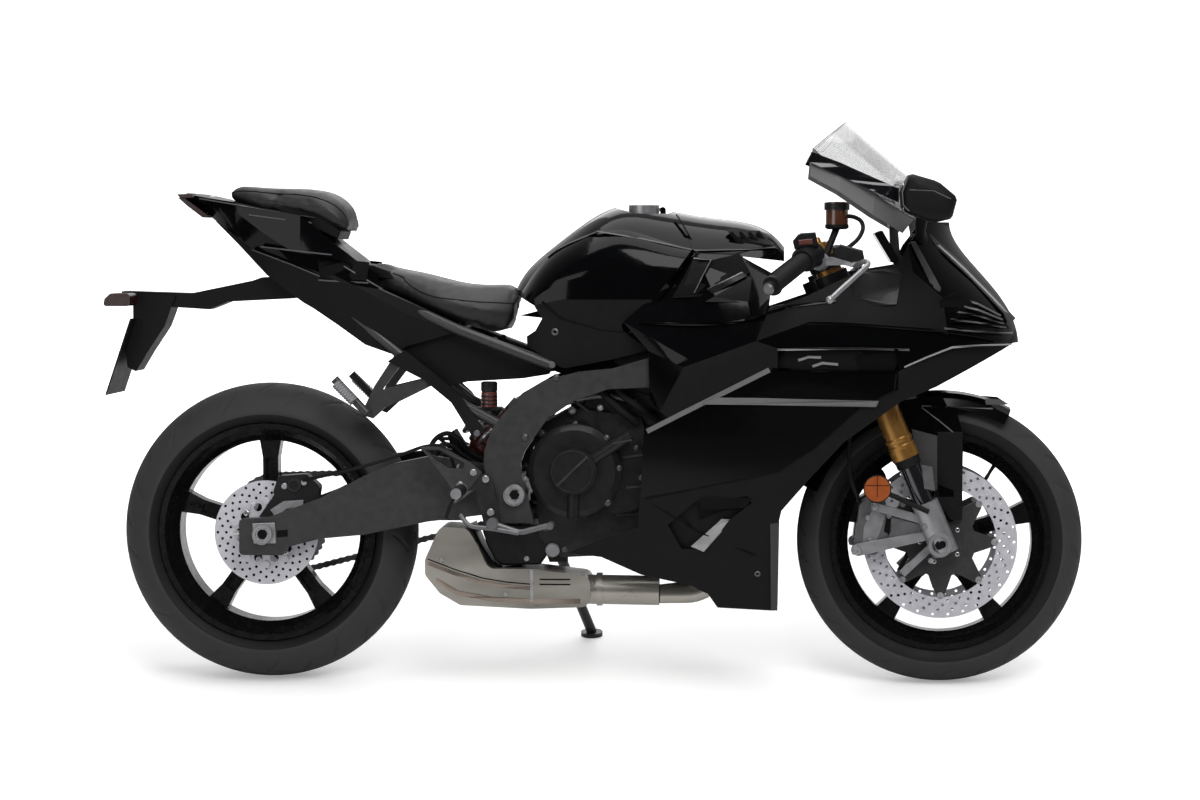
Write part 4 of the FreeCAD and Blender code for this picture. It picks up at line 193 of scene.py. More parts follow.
DULL = finish("dull_alloy", (0.12, 0.12, 0.125), 0.4, metal=0.6, bump=0.2)
DISC = finish("ground_disc", (0.52, 0.51, 0.55), 0.34, metal=0.35, vary=0.05, bump_scale=600)
GOLD = finish("gold_anodised", (0.3, 0.15, 0.036), 0.3, metal=0.7, vary=0.03, scale=20, bump=0.0)
CHROME = finish(
    "hard_chrome", (0.085, 0.085, 0.092), 0.1, metal=0.95, vary=0.04, bump=0.02, bump_scale=500, swing=0.02,
)
WHEEL = finish(
    "wheel_paint", (0.0034, 0.0034, 0.0037), 0.26, vary=0.06, coat=0.16, bump=0.015, bump_scale=500, depth=0.0002,
    specular=0.18,
)
RUBBER = finish(
    "moulded_rubber", (0.006, 0.006, 0.006), 0.62, vary=0.15, bump=0.3, bump_scale=1200, depth=0.0002,
    specular=0.15,
)
TYRE = finish("tyre_rubber", (0.033, 0.033, 0.0345), 0.66, vary=0.08, scale=30, bump=0.3, specular=0.15)
TYRE_SIDE = finish("tyre_wall", (0.0075, 0.0075, 0.0078), 0.6, vary=0.08, scale=30, bump=0.2, specular=0.15)
LEATHER = finish(
    "seat_cover", (0.012, 0.012, 0.0128), 0.46, vary=0.15, bump=0.5, bump_scale=700, depth=0.0004, specular=0.3,
)
RED = finish("red_paint", (0.075, 0.018, 0.013), 0.35, vary=0.15, coat=0.2)
AMBER = finish(
    "amber_lens", (0.27, 0.066, 0.017), 0.2, vary=0.1, coat=0.6, bump=0.3, bump_scale=260, depth=0.0008,
    specular=0.3,
)
LAMP_RED = finish(
    "red_lens", (0.016, 0.0015, 0.0015), 0.25, vary=0.1, coat=0.12, bump=0.3, bump_scale=260, depth=0.0008,
    specular=0.3,
)
# Near-black for real seams, and for painted shade inside slots, sockets, holes, ducts and gaps.
DARK = finish("seam_and_shade_black", (0.002, 0.002, 0.002), 0.7, vary=0.2, bump=0.1, specular=0.1)
# Pale grey for trim, and for painted highlights along creases and edges.
PALE = finish("pale_trim_and_highlight", (0.06, 0.06, 0.062), 0.45, vary=0.05, bump=0.1, bump_scale=1400, specular=0.3)
STRIPE = finish("stripe_paint", (0.115, 0.115, 0.118), 0.45, vary=0.04, bump=0.1, bump_scale=1400, specular=0.2)
BOLT = finish("dark_bolt", (0.05, 0.05, 0.052), 0.36, metal=0.5, vary=0.1, bump=0.1)
# Light grey for a cowl slat, and for painted highlights and reflections on the nose and in the duct.
BRIGHT = finish("bright_slat_and_highlight", (0.26, 0.26, 0.265), 0.42, metal=0.2, vary=0.06, bump=0.2, bump_scale=800)
DARK_LENS = finish("dark_lens", (0.003, 0.003, 0.004), 0.08, vary=0.1, coat=0.6, bump=0.02, specular=0.3)
SMOKE = finish("smoked_cup", (0.06, 0.02, 0.008), 0.2, vary=0.15, coat=0.5, bump=0.05)
# Brownish steel: heat tint at the silencer's seam, and painted shade along its bottom.
HEAT_AND_SHADE = finish(
    "heat_tint_and_shade_steel", (0.26, 0.215, 0.18), 0.3, metal=0.8, vary=0.25, scale=14, bump=0.12, bump_scale=300,
    depth=0.0002,
)
PLATE = finish("blank_white", (0.46, 0.46, 0.45), 0.45, vary=0.03, bump=0.1, bump_scale=400, specular=0.3)
SURROUND = finish("surround_grey", (0.095, 0.095, 0.098), 0.5, vary=0.04, bump_scale=1400, depth=0.0002, specular=0.2)
MIRROR = finish("mirror_glass", (0.62, 0.62, 0.64), 0.05, metal=0.95, vary=0.03, bump=0.0, swing=0.01)


def glass(name, color, rough=0.02, bend=1.45, clear=1.0):
    """Clear moulded plastic or glass with a faint haze."""
    material, tree, bsdf = shader(name)
    bsdf.inputs["Transmission Weight"].default_value = 1.0
    bsdf.inputs["IOR"].default_value = bend
    bsdf.inputs["Alpha"].default_value = clear
    haze = grain(tree, 40, 3.0)
    tree.links.new(tinted(tree, haze, [c * 0.97 for c in color], color), bsdf.inputs["Base Color"])
    tree.links.new(spread(tree, haze, rough, rough * 2), bsdf.inputs["Roughness"])
    return material


SCREEN = glass("clear_screen", (0.975, 0.98, 0.985), 0.01, 1.22, 0.35)
LENS = glass("clear_lens", (0.93, 0.94, 0.95))

FINISHES = {
    "main_frame": FRAME, "subframe": FRAME, "engine": CAST, "engine_covers": COVER, "radiator": COVER,
    "exhaust": MUFFLER, "swingarm": FRAME, "rear_axle": STEEL, "rear_shock": RED, "chain": DULL,
    "rear_caliper": COVER, "fuel_tank": GLOSS, "knee_covers": MATT, "fuel_cap": ALLOY, "rider_seat": LEATHER,
    "passenger_seat": LEATHER, "tail_cowl": GLOSS, "tail_covers": MATT, "plate_holder": MATT,
    "rear_lamps": LAMP_RED, "side_fairings": GLOSS, "lower_fairings": MATT, "upper_cowls": GLOSS,
    "inner_fairings": MATT, "nose_cowl": GLOSS, "side_panels": GLOSS, "fairing_stay": FRAME, "cockpit": MATT,
    "headlamp": LENS, "windscreen": SCREEN, "screen_surround": SURROUND, "dash": DARK_LENS, "mirrors": MATT,
    "rearsets": CAST, "footpegs": ALLOY, "pedals": DULL, "passenger_pegs": FRAME, "fork_outers": GOLD,
    "fork_inners": CHROME, "fork_bottoms": ALLOY, "yokes": COVER, "handlebars": RUBBER, "levers": ALLOY,
    "brake_reservoir": SMOKE, "front_calipers": DULL, "front_fender": GLOSS, "fork_reflectors": AMBER,
    "front_rim": WHEEL, "front_tyre": TYRE, "front_discs": DISC, "rear_rim": WHEEL, "rear_tyre": TYRE,
    "rear_disc": DISC, "side_stand": FRAME,
}
for name, node in nodes.items():
    node.data.materials.clear()
    node.data.materials.append(FINISHES[name])


# Building helpers
def seen(x, y, depth=0.0):
    """Point of the upright bike seen at a place of the picture, a depth out from its middle plane."""
    grow = EYE_AWAY / (EYE_AWAY - depth)
    flat_x = EYE_PIXEL[0] + (x - EYE_PIXEL[0]) / grow
    flat_y = EYE_PIXEL[1] + (y - EYE_PIXEL[1]) / grow
    return at((flat_x - REAR_PIXEL) / BASE_PIXELS, (FLOOR_PIXEL - flat_y) / TALL_PIXELS, -depth)


def flip(point):
    """The same place or direction on the other side of the bike."""
    return Vector((point.x, -point.y, point.z))


def pair(origin, axis):
    """A place with its direction, on the right side and on the left."""
    return ((flip(origin), flip(axis)), (origin, axis))


TREES = {}


def tree_of(names):
    """Search tree of the named CAD nodes in the upright frame."""
    key = tuple(names)
    if key not in TREES:
        points = []
        faces = []
        for name in names:
            node = nodes[name]
            place = PARK_BACK @ node.matrix_world
            start = len(points)
            points += [place @ vert.co for vert in node.data.vertices]
            faces += [[start + index for index in face.vertices] for face in node.data.polygons]
        TREES[key] = BVHTree.FromPolygons(points, faces)
    return TREES[key]


# Depth near which a line of sight that misses the nodes looks for them.
MISS_DEPTH = 0.2


def landed(x, y, names, far=False):
    """Where the line of sight through a place of the picture meets the named nodes, and the surface's direction."""
    tree = tree_of(names)
    eye = flip(EYE) if far else EYE
    aim = (seen(x, y) - eye).normalized()
    spot, normal, _, _ = tree.ray_cast(eye, aim)
    if spot is None:
        near = seen(x, y, MISS_DEPTH)
        spot, normal, _, _ = tree.find_nearest(flip(near) if far else near)
    if normal.dot(aim) > 0:
        normal = -normal
    return spot, normal


def add_object(name, mesh, body, material, smooth=40):
    """New piece in the parked frame that rides on a body."""
    piece = bpy.data.objects.new(name, mesh)
    bpy.context.scene.collection.objects.link(piece)
    piece.matrix_world = PARK
    for given in (material if isinstance(material, list) else [material]):
        mesh.materials.append(given)
    mesh.polygons.foreach_set("use_smooth", [True] * len(mesh.polygons))
    mesh.set_sharp_from_angle(angle=math.radians(smooth))
    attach(piece, body)
    return piece


def shape_object(name, body, material, build, smooth=40):
    """New piece built by a function that fills a mesh."""
    grid = bmesh.new()
    build(grid)
    bmesh.ops.recalc_face_normals(grid, faces=grid.faces)
    mesh = bpy.data.meshes.new(name)
    grid.to_mesh(mesh)
    grid.free()
    return add_object(name, mesh, body, material, smooth)


def frame_of(axis):
    """Two directions square to an axis."""
    axis = axis.normalized()
    first = axis.cross(UP if abs(axis.z) < 0.9 else AHEAD).normalized()
    return first, axis.cross(first)


def ring_of(grid, centre, first, second, radius, count):
    """New corners on a circle."""
    found = []
    for step in range(count):
        angle = 2 * math.pi * step / count
        found.append(grid.verts.new(centre + first * (radius * math.cos(angle)) + second * (radius * math.sin(angle))))
    return found


def banded(grid, low, high, index=0):
    """Faces between two closed rows of corners; a row of one corner is a tip."""
    for step in range(max(len(low), len(high))):
        after = (step + 1) % max(len(low), len(high))
        if len(low) == 1:
            corners = (low[0], high[step], high[after])
        elif len(high) == 1:
            corners = (low[step], high[0], low[after])
        else:
            corners = (low[step], high[step], high[after], low[after])
        grid.faces.new(corners).material_index = index


def turned(grid, origin, axis, profile, steps=28, index=0):
    """Turned form: pairs of radius and place along the axis."""
    axis = axis.normalized()
    first, second = frame_of(axis)
    rows = []
    for radius, along in profile:
        centre = origin + axis * along
        rows.append(ring_of(grid, centre, first, second, radius, steps) if radius > 0 else [grid.verts.new(centre)])
    for low, high in zip(rows, rows[1:]):
        if len(low) + len(high) > 2:
            banded(grid, low, high, index)


def curve_points(points, count):
    """Even run of points on a smooth curve through the given ones."""
    points = [Vector(point) for point in points]
    points = [points[0] * 2 - points[1], *points, points[-1] * 2 - points[-2]]
    found = []
    for a, b, c, d in zip(points, points[1:], points[2:], points[3:]):
        for step in range(count):
            t = step / count
            found.append(0.5 * (
                2 * b + (c - a) * t + (2 * a - 5 * b + 4 * c - d) * t * t + (3 * b - a - 3 * c + d) * t * t * t
            ))
    return found + [points[-2]]


def tube(grid, points, radius, sides=12, smooth=6, index=0, ribs=0):
    """Round tube along a smooth path, closed at both ends; the radius may be a list, and ribs pinch odd rings."""
    path = curve_points(points, smooth) if smooth else [Vector(point) for point in points]
    first, second = frame_of(path[1] - path[0])
    sizes = radius if isinstance(radius, list) else [radius, radius]
    rows = []
    for place, point in enumerate(path):
        ahead = (path[min(place + 1, len(path) - 1)] - path[max(place - 1, 0)]).normalized()
        first = (first - ahead * first.dot(ahead)).normalized()
        second = ahead.cross(first)
        share = place / (len(path) - 1) * (len(sizes) - 1)
        low = min(int(share), len(sizes) - 2)
        size = sizes[low] + (sizes[low + 1] - sizes[low]) * (share - low)
        rows.append(ring_of(grid, point, first, second, size * ribs if ribs and place % 2 else size, sides))
    for low, high in zip(rows, rows[1:]):
        banded(grid, low, high, index)
    for row in (rows[0], rows[-1]):
        grid.faces.new(row).material_index = index


def capped(grid, ring):
    """Flat face of triangles over a ring of corners in a side plane."""
    level = [Vector((vert.co.x, vert.co.z, 0)) for vert in ring]
    for triangle in geometry.tessellate_polygon([level]):
        corners = [ring[place] for place in triangle]
        if grid.faces.get(corners) is None:
            grid.faces.new(corners)


def slab(grid, outline, low_y, high_y, chamfer=0.001):
    """Plate of a side outline between two depths, with a chamfered edge on both faces."""
    points = [Vector((point.x, point.z)) for point in outline]
    if sum(a.x * b.y - b.x * a.y for a, b in zip(points, points[1:] + points[:1])) < 0:
        points.reverse()
    inner = []
    for place, point in enumerate(points):
        before = (point - points[place - 1]).normalized()
        after = (points[(place + 1) % len(points)] - point).normalized()
        square = Vector((-before.y, before.x))
        inward = Vector((-before.y - after.y, before.x + after.x))
        inward = (square if inward.length < 1e-6 else inward).normalized()
        inner.append(point + inward * (chamfer / max(inward.dot(square), 0.5)))
    step = chamfer if high_y > low_y else -chamfer
    rings = []
    for ring, depth in ((inner, low_y), (points, low_y + step), (points, high_y - step), (inner, high_y)):
        rings.append([grid.verts.new((point.x, depth, point.y)) for point in ring])
    for low, high in zip(rings, rings[1:]):
        banded(grid, low, high)
    capped(grid, rings[0])
    capped(grid, rings[-1])


def sized(profile, radius):
    """A profile given in shares of its radius, at the real radius."""
    return [(out * radius, along * radius) for out, along in profile]


def bolt(grid, place, axis, radius, index=0):
    """Round-headed socket bolt that stands on a surface."""
    turned(grid, place, axis, sized(SOCKET, radius), 18, index)


def bolts(name, material, places):
    """Bolts on both sides, on surfaces seen in the picture: x, y, node names and radius."""
    def build(grid):
        for x, y, names, radius in places:
            for spot, axis in pair(*landed(x, y, names)):
                bolt(grid, spot, axis, radius)
    return shape_object(name, "chassis", material, build)


def heads(name, body, material, places, profile, steps=28, smooth=40):
    """Turned forms of one profile, each at a place and along a direction."""
    def build(grid):
        for origin, axis in places:
            turned(grid, origin, axis, profile, steps)
    return shape_object(name, body, material, build, smooth)


def lane(points, width):
    """Outline of a narrow strip along a line of the picture."""
    left = []
    right = []
    for place, (x, y) in enumerate(points):
        before = points[max(place - 1, 0)]
        after = points[min(place + 1, len(points) - 1)]
        run = Vector((after[0] - before[0], after[1] - before[1])).normalized() * (width / 2)
        left.append((x - run.y, y + run.x))
        right.append((x + run.y, y - run.x))
    return left + right[::-1]


# Clean-edged plates: pixels between the points of an edge and across its bevel, the bevel's largest
# share of the way to the middle, and how deep a plate goes in.
EDGE_STEP = 9.0
BEVEL = 0.5
BEVEL_SHARE = 0.3
SUNK = 0.006


def edge_points(outline):
    """Points along an outline of the picture, about evenly apart."""
    found = []
    for a, b in zip(outline, outline[1:] + outline[:1]):
        a, b = Vector(a), Vector(b)
        parts = max(1, int((b - a).length / EDGE_STEP))
        found += [a + (b - a) * (part / parts) for part in range(parts)]
    return found


def facets(name, material, outlines, lift, names=UPPER, both=True, body="chassis", far=False):
    """Clean-edged plates that stand a lift proud of a surface, each bounded by an outline of the picture."""
    def build(grid):
        for outline in outlines:
            edge = edge_points(outline)
            count = len(edge)
            depths = [abs(landed(point.x, point.y, names, far)[0].y) for point in edge]
            depths = [sorted(depths[(k + shift) % count] for shift in (-2, -1, 0, 1, 2))[2] for k in range(count)]
            depths = [max(depths[k - 1], depths[k], depths[(k + 1) % count]) for k in range(count)]
            centre = sum(edge, Vector((0, 0))) / count
            for side in (-1,) if far else (1, -1) if both else (1,):
                rings = []
                for pull, out in ((BEVEL, lift), (0.0, lift / 2), (0.0, -SUNK)):
                    ring = []
                    for point, depth in zip(edge, depths):
                        inward = centre - point
                        moved = point + inward.normalized() * min(pull, inward.length * BEVEL_SHARE)
                        spot = seen(moved.x, moved.y, depth + out)
                        ring.append(grid.verts.new((spot.x, spot.y * side, spot.z)))
                    rings.append(ring)
                for low, high in zip(rings, rings[1:]):
                    banded(grid, low, high)
                capped(grid, rings[0])
    return shape_object(name, body, material, build, 30)


def plates(name, material, shapes, both=False, chamfer=0.001, body="chassis"):
    """Flat plates from outlines of the picture: outline, depth of the outer face and thickness."""
    def build(grid):
        for outline, depth, thick in shapes:
            points = [seen(x, y, depth) for x, y in outline]
            slab(grid, points, -depth, thick - depth, chamfer)
            if both:
                slab(grid, points, depth, depth - thick, chamfer)
    return shape_object(name, body, material, build, 30)


def rods(name, material, paths, radius, both=False, body="chassis"):
    """Round rods or hoses along places of the picture, each with its depth."""
    def build(grid):
        for path in paths:
            run = [seen(x, y, depth) for x, y, depth in path]
            tube(grid, run, radius)
            if both:
                tube(grid, [flip(point) for point in run], radius)
    return shape_object(name, body, material, build)


def knobs(name, material, places, profile, steps=28, both=False, body="chassis", far=False):
    """Turned heads that face the bike's side: x, y, depth or node names, and radius."""
    def build(grid):
        for x, y, where, radius in places:
            spot = landed(x, y, where, far)[0] if isinstance(where, list) else seen(x, y, where)
            shape = sized(profile, radius)
            turned(grid, spot, ACROSS if far else -ACROSS, shape, steps)
            if both:
                turned(grid, flip(spot), ACROSS, shape, steps)
    return shape_object(name, body, material, build, 30)


def pierced(grid, loops, low_y, high_y, index=0):
    """Flat plate between two depths, with an outline and the openings inside it."""
    spots = []
    lines = []
    for loop in loops:
        start = len(spots)
        spots += [Vector((point.x, point.z)) for point in loop]
        lines += [(start + place, start + (place + 1) % len(loop)) for place in range(len(loop))]
    verts, _, faces, _, _, _ = geometry.delaunay_2d_cdt(spots, lines, [], 0, 1e-7)

    def kept(x, z):
        odd = False
        for loop in loops:
            for a, b in zip(loop, loop[1:] + loop[:1]):
                if (a.z > z) != (b.z > z) and x < (b.x - a.x) * (z - a.z) / (b.z - a.z) + a.x:
                    odd = not odd
        return odd

    low = [grid.verts.new((vert.x, low_y, vert.y)) for vert in verts]
    high = [grid.verts.new((vert.x, high_y, vert.y)) for vert in verts]
    edges = set()
    for face in faces:
        middle = sum((verts[corner] for corner in face), Vector((0, 0))) / len(face)
        if not kept(middle.x, middle.y):
            continue
        grid.faces.new([low[corner] for corner in face]).material_index = index
        grid.faces.new([high[corner] for corner in reversed(face)]).material_index = index
        edges.update(zip(face, list(face[1:]) + [face[0]]))
    for a, b in sorted(edges):
        if (b, a) not in edges:
            grid.faces.new((low[a], high[a], high[b], low[b])).material_index = index
    for vert in low + high:
        if not vert.link_faces:
            grid.verts.remove(vert)


def circle(centre, radius, steps=96, phase=0.0):
    """Points of a circle in the side plane of its centre."""
    angles = [2 * math.pi * step / steps + phase for step in range(steps)]
    return [centre + Vector((math.cos(angle) * radius, 0, math.sin(angle) * radius)) for angle in angles]


# Profiles in shares of the radius: radius and place along the axis
SOCKET = ((0, -0.10), (0.46, -0.10), (0.50, 0.42), (0.62, 0.52), (0.86, 0.44), (1, 0.22), (1, -0.30), (0, -0.30))
HEX = ((0.0, 0.62), (0.86, 0.62), (1.0, 0.48), (1.0, -0.30), (0.0, -0.30))
DOME = ((0.0, 0.55), (0.45, 0.50), (0.80, 0.30), (1.0, 0.0), (1.0, -0.30), (0.0, -0.30))
RING = ((0.62, 0.0), (0.66, 0.14), (0.94, 0.14), (1.0, 0.04), (1.0, -0.30), (0.62, -0.30))
CUP = ((0.0, 0.10), (0.95, 0.10), (1.0, 0.0), (1.0, -0.2), (0.0, -0.2))
RAISED_CUP = ((0.0, 0.20), (0.95, 0.20), (1.0, 0.1), (1.0, -0.1), (0.0, -0.1))
CASE_RING = ((0.93, 0.0), (0.94, 0.035), (0.98, 0.035), (1.0, 0.0), (1.0, -0.08), (0.93, -0.08))

# Profiles in metres
HUB_CAP = ((0.0, 0.004), (0.046, 0.004), (0.050, -0.001), (0.050, -0.014), (0.0, -0.014))
BOBBIN = (
    (0.0, 0.0038), (0.0034, 0.0038), (0.0042, 0.0046), (0.0066, 0.0046), (0.0074, 0.0036),
    (0.0074, -0.0036), (0.0, -0.0036),
)
VALVE_CAP = ((0.0, 0.008), (0.0030, 0.008), (0.0042, 0.006), (0.0042, -0.004), (0.0, -0.004))
RIM_LIP = ((0.2260, -0.0006), (0.2266, 0.0008), (0.2288, 0.0010), (0.2298, 0.0), (0.2260, -0.0006))
HUB_SEAL = ((0.021, 0.0005), (0.023, 0.0014), (0.040, 0.0014), (0.043, 0.0), (0.021, 0.0))
DISC_HOLE = ((0.0, 0.0003), (0.0026, 0.0003), (0.0030, 0.0))
LAMP_GLASS = ((0.0, 0.020), (0.012, 0.018), (0.021, 0.011), (0.026, 0.0), (0.0, -0.004))
LAMP_SHROUD = (
    (0.0295, -0.060), (0.0330, -0.058), (0.0345, 0.004), (0.0320, 0.010), (0.0295, 0.004), (0.0295, -0.060),
)
GRIP_COLLAR = ((0.0, 0.004), (0.0205, 0.004), (0.0215, 0.0), (0.0205, -0.004), (0.0, -0.004))
BAR_WEIGHT = ((0.0, 0.016), (0.009, 0.016), (0.0125, 0.012), (0.0125, 0.0), (0.009, -0.004), (0.0, -0.004))
SWITCH_POD = ((0.0, -0.022), (0.022, -0.022), (0.0255, -0.018), (0.0255, 0.010), (0.022, 0.014), (0.0, 0.014))
BUTTON = ((0.0, 0.006), (0.006, 0.006), (0.0075, 0.004), (0.0075, -0.006), (0.0, -0.006))
CUP_LID = (
    (0.0, 0.0512), (0.0180, 0.0512), (0.0215, 0.0490), (0.0262, 0.0480), (0.0262, 0.0345), (0.0235, 0.0338),
    (0.0, 0.0338),
)
CUP_BASE = ((0.0, 0.0), (0.019, 0.0), (0.0245, 0.003), (0.0245, 0.010), (0.0, 0.010))
FORK_CAP = ((0.0, 0.024), (0.007, 0.024), (0.009, 0.021), (0.009, 0.012), (0.016, 0.011), (0.017, 0.0), (0.0, 0.0))
DUST_SEAL = (
    (0.0212, -0.020), (0.0250, -0.019), (0.0262, -0.016), (0.0262, -0.006), (0.0275, -0.004), (0.0275, 0.001),
    (0.0212, 0.001),
)
FORK_RING = ((0.0265, 0.0), (0.0282, 0.001), (0.0287, 0.003), (0.0287, 0.008), (0.0282, 0.010), (0.0265, 0.011))
REFLECTOR_RIM = (
    (0.0272, -0.002), (0.0272, 0.0100), (0.0280, 0.0104), (0.0288, 0.0096), (0.0288, -0.002), (0.0, -0.003),
    (0.0, -0.002),
)
GAS_TANK = ((0.0, 0.0), (0.0150, 0.0), (0.0170, 0.002), (0.0170, 0.032), (0.0150, 0.034), (0.0, 0.034))
GAS_TANK_LINE = ((0.0168, 0.0), (0.0176, 0.001), (0.0176, 0.003), (0.0168, 0.004))
GAS_TANK_LID = ((0.0, 0.034), (0.0165, 0.034), (0.0175, 0.037), (0.0175, 0.052), (0.0140, 0.055), (0.0, 0.055))


# Tyres and discs
TYRE_STEPS = 1080
CROWN_ROWS = 44
# Tread: its depth, how often it repeats, the share of the crown over which a groove's ends fade out, and
# how far from its middle a groove ends and over how much it rises, in groove widths.
GROOVE_DEPTH = 0.0028
GROOVE_REPEATS = 13
GROOVE_FADE = 0.04
GROOVE_EDGE = 1.35
GROOVE_RISE = 0.7
# Start and end across the crown, lead, bow and offset of each groove, as shares.
GROOVES = (
    (0.16, 0.62, 0.90, -0.35, 0.00), (0.42, 0.88, 0.75, -0.10, 0.42), (0.05, 0.30, 1.10, 0.00, 0.66),
)
# Distance across and radius of each row of a tyre's wall.
REAR_SIDE = ((0.0876, 0.2495), (0.0835, 0.2415), (0.0740, 0.2335), (0.0690, 0.2305), (0.0665, 0.2200))
FRONT_SIDE = ((0.0583, 0.2550), (0.0550, 0.2450), (0.0500, 0.2350), (0.0462, 0.2308), (0.0436, 0.2200))


def groove(share, phase, pitch, width):
    """How deep the tread is cut at a share across the crown, from none to full depth."""
    cut = 0.0
    for start, end, lead, bow, offset in GROOVES:
        if start < share < end:
            line = offset + lead * share + bow * share * share
            gap = abs((phase - line + 0.5) % 1.0 - 0.5) * pitch
            ends = min((share - start) / GROOVE_FADE, (end - share) / GROOVE_FADE, 1.0)
            cut = max(cut, min(max(GROOVE_EDGE - gap / width, 0.0) / GROOVE_RISE, 1.0) * ends)
    return cut


def tyre(name, node, body, centre, radius, crown, half, side, width):
    """Tyre with a round crown and swept grooves, on its rim."""
    edge = math.asin(half / crown)
    rows = [(-y, r, None) for y, r in reversed(side)]
    for step in range(CROWN_ROWS + 1):
        angle = -edge + 2 * edge * step / CROWN_ROWS
        rows.append((math.sin(angle) * crown, radius - crown + math.cos(angle) * crown, angle / edge))
    rows += [(y, r, None) for y, r in side]
    total = len(rows)
    verts = []
    faces = []
    for step in range(TYRE_STEPS):
        turn = 2 * math.pi * step / TYRE_STEPS
        for y, r, across in rows:
            if across is not None:
                phase = turn * GROOVE_REPEATS / (2 * math.pi) + (0.5 if across > 0 else 0.0)
                pitch = 2 * math.pi * radius / GROOVE_REPEATS
                r -= GROOVE_DEPTH * groove(abs(across), phase, pitch, width)
            verts.append((centre.x + r * math.cos(turn), y, centre.z + r * math.sin(turn)))
        low, high = step * total, (step + 1) % TYRE_STEPS * total
        faces += [(low + k, low + k + 1, high + k + 1, high + k) for k in range(total - 1)]
    mesh = bpy.data.meshes.new(name)
    mesh.from_pydata(verts, [], faces)
    mesh.update()
    piece = add_object(name, mesh, body, [TYRE, TYRE_SIDE], 30)
    wall = len(side) - 1
    walls = [0 if wall <= k <= total - 2 - wall else 1 for k in range(total - 1)] * TYRE_STEPS
    mesh.polygons.foreach_set("material_index", walls)
    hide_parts(node)


def tyres():
    """Both tyres."""
    tyre("rear_tyre_tread", "rear_tyre", "rear_wheel", REAR_AXLE, 0.314, 0.095, 0.088, REAR_SIDE, 0.0036)
    tyre("front_tyre_tread", "front_tyre", "front_wheel", FRONT_AXLE, 0.300, 0.062, 0.058, FRONT_SIDE, 0.0032)


def drilled(grid, centre, outer, inner, thick, rings, hole):
    """Brake disc with rings of holes; each ring is a radius, a count and a phase."""
    loops = [circle(centre, outer, 144), circle(centre, inner, 120)]
    for radius, count, phase in rings:
        loops += [circle(spot, hole, 10) for spot in circle(centre, radius, count, phase)]
    pierced(grid, loops, centre.y - thick / 2, centre.y + thick / 2)


def carrier(grid, centre, thick, root, bore, reach, arms, index):
    """Star carrier: a ring at the hub with arms out to the disc."""
    outline = []
    for arm in range(arms):
        for share, radius in ((-0.405, root), (-0.10125, reach), (0.10125, reach), (0.405, root)):
            angle = 2 * math.pi * (arm + share) / arms
            outline.append(centre + Vector((math.cos(angle) * radius, 0, math.sin(angle) * radius)))
    pierced(grid, [outline, circle(centre, bore, 48)], centre.y - thick / 2, centre.y + thick / 2, index)


def front_brakes():
    """Drilled front discs on black carriers with bright bobbins."""
    rings = ((0.153, 30, 0.0), (0.143, 30, 0.07), (0.133, 30, 0.14), (0.124, 30, 0.02))

    def build(grid):
        for side in SIDES:
            out = ACROSS * side
            centre = FRONT_AXLE + out * 0.066
            drilled(grid, centre, 0.160, 0.1165, 0.0045, rings, 0.0031)
            carrier(grid, centre, 0.0055, 0.074, 0.038, 0.112, 8, 1)
            turned(grid, centre, out, HUB_CAP, 48, 1)
            for spot in circle(centre, 0.1125, 8):
                turned(grid, spot, out, BOBBIN, 18, 2)
            for spot in circle(centre + out * 0.004, 0.043, 5, math.pi / 5):
                bolt(grid, spot, out, 0.0052, 3)
    piece = shape_object("front_brake_discs", "front_wheel", [DISC, FRAME, STEEL, STEEL], build, 30)
    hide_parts("front_discs")


def wheel_details():
    """Valve stems, rim lips painted lighter as highlights, hub seals, and the rear disc's holes and bolts."""
    def valve(centre, angle):
        def build(grid):
            along = Vector((math.cos(angle), 0, math.sin(angle)))
            root = centre + along * 0.197 - ACROSS * 0.010
            bend = root - along * 0.016 - ACROSS * 0.010
            tip = root - along * 0.030 - ACROSS * 0.024
            tube(grid, [root, bend, tip], [0.0048, 0.0038, 0.0036], 10, 3)
            turned(grid, tip, tip - root, VALVE_CAP, 12)
        return build
    shape_object("front_valve", "front_wheel", RUBBER, valve(FRONT_AXLE, 0.94))
    shape_object("rear_valve", "rear_wheel", RUBBER, valve(REAR_AXLE, 2.83))
    # Grey rings on the black rims' lips: painted highlights.
    heads("front_rim_lip_highlights", "front_wheel", FRAME, pair(FRONT_AXLE + ACROSS * 0.0462, ACROSS), RIM_LIP, 120)
    heads("rear_rim_lip_highlights", "rear_wheel", FRAME, pair(REAR_AXLE + ACROSS * 0.0690, ACROSS), RIM_LIP, 120)
    heads("rear_hub_seals", "rear_wheel", STEEL, pair(REAR_AXLE + ACROSS * 0.0742, ACROSS), HUB_SEAL, 40)
    face = REAR_AXLE - ACROSS * 0.0843
    rings = ((0.103, 0.0), (0.094, 0.14), (0.085, 0.0), (0.076, 0.14))
    holes = [(spot, -ACROSS) for radius, phase in rings for spot in circle(face, radius, 22, phase)]
    heads("rear_disc_holes", "rear_wheel", DARK, holes, DISC_HOLE, 10)
    mounts = [(spot, -ACROSS) for spot in circle(REAR_AXLE - ACROSS * 0.0868, 0.058, 6, math.pi / 12)]
    heads("rear_disc_bolts", "rear_wheel", STEEL, mounts, sized(SOCKET, 0.0065), 18)


# Seats
SEAT_SHARE = 0.985
SEAT_VOXEL = 0.006
SWELL_PUSH = 4.0
SWELL_FRAMES = 20
SWELL_MOST = 0.007


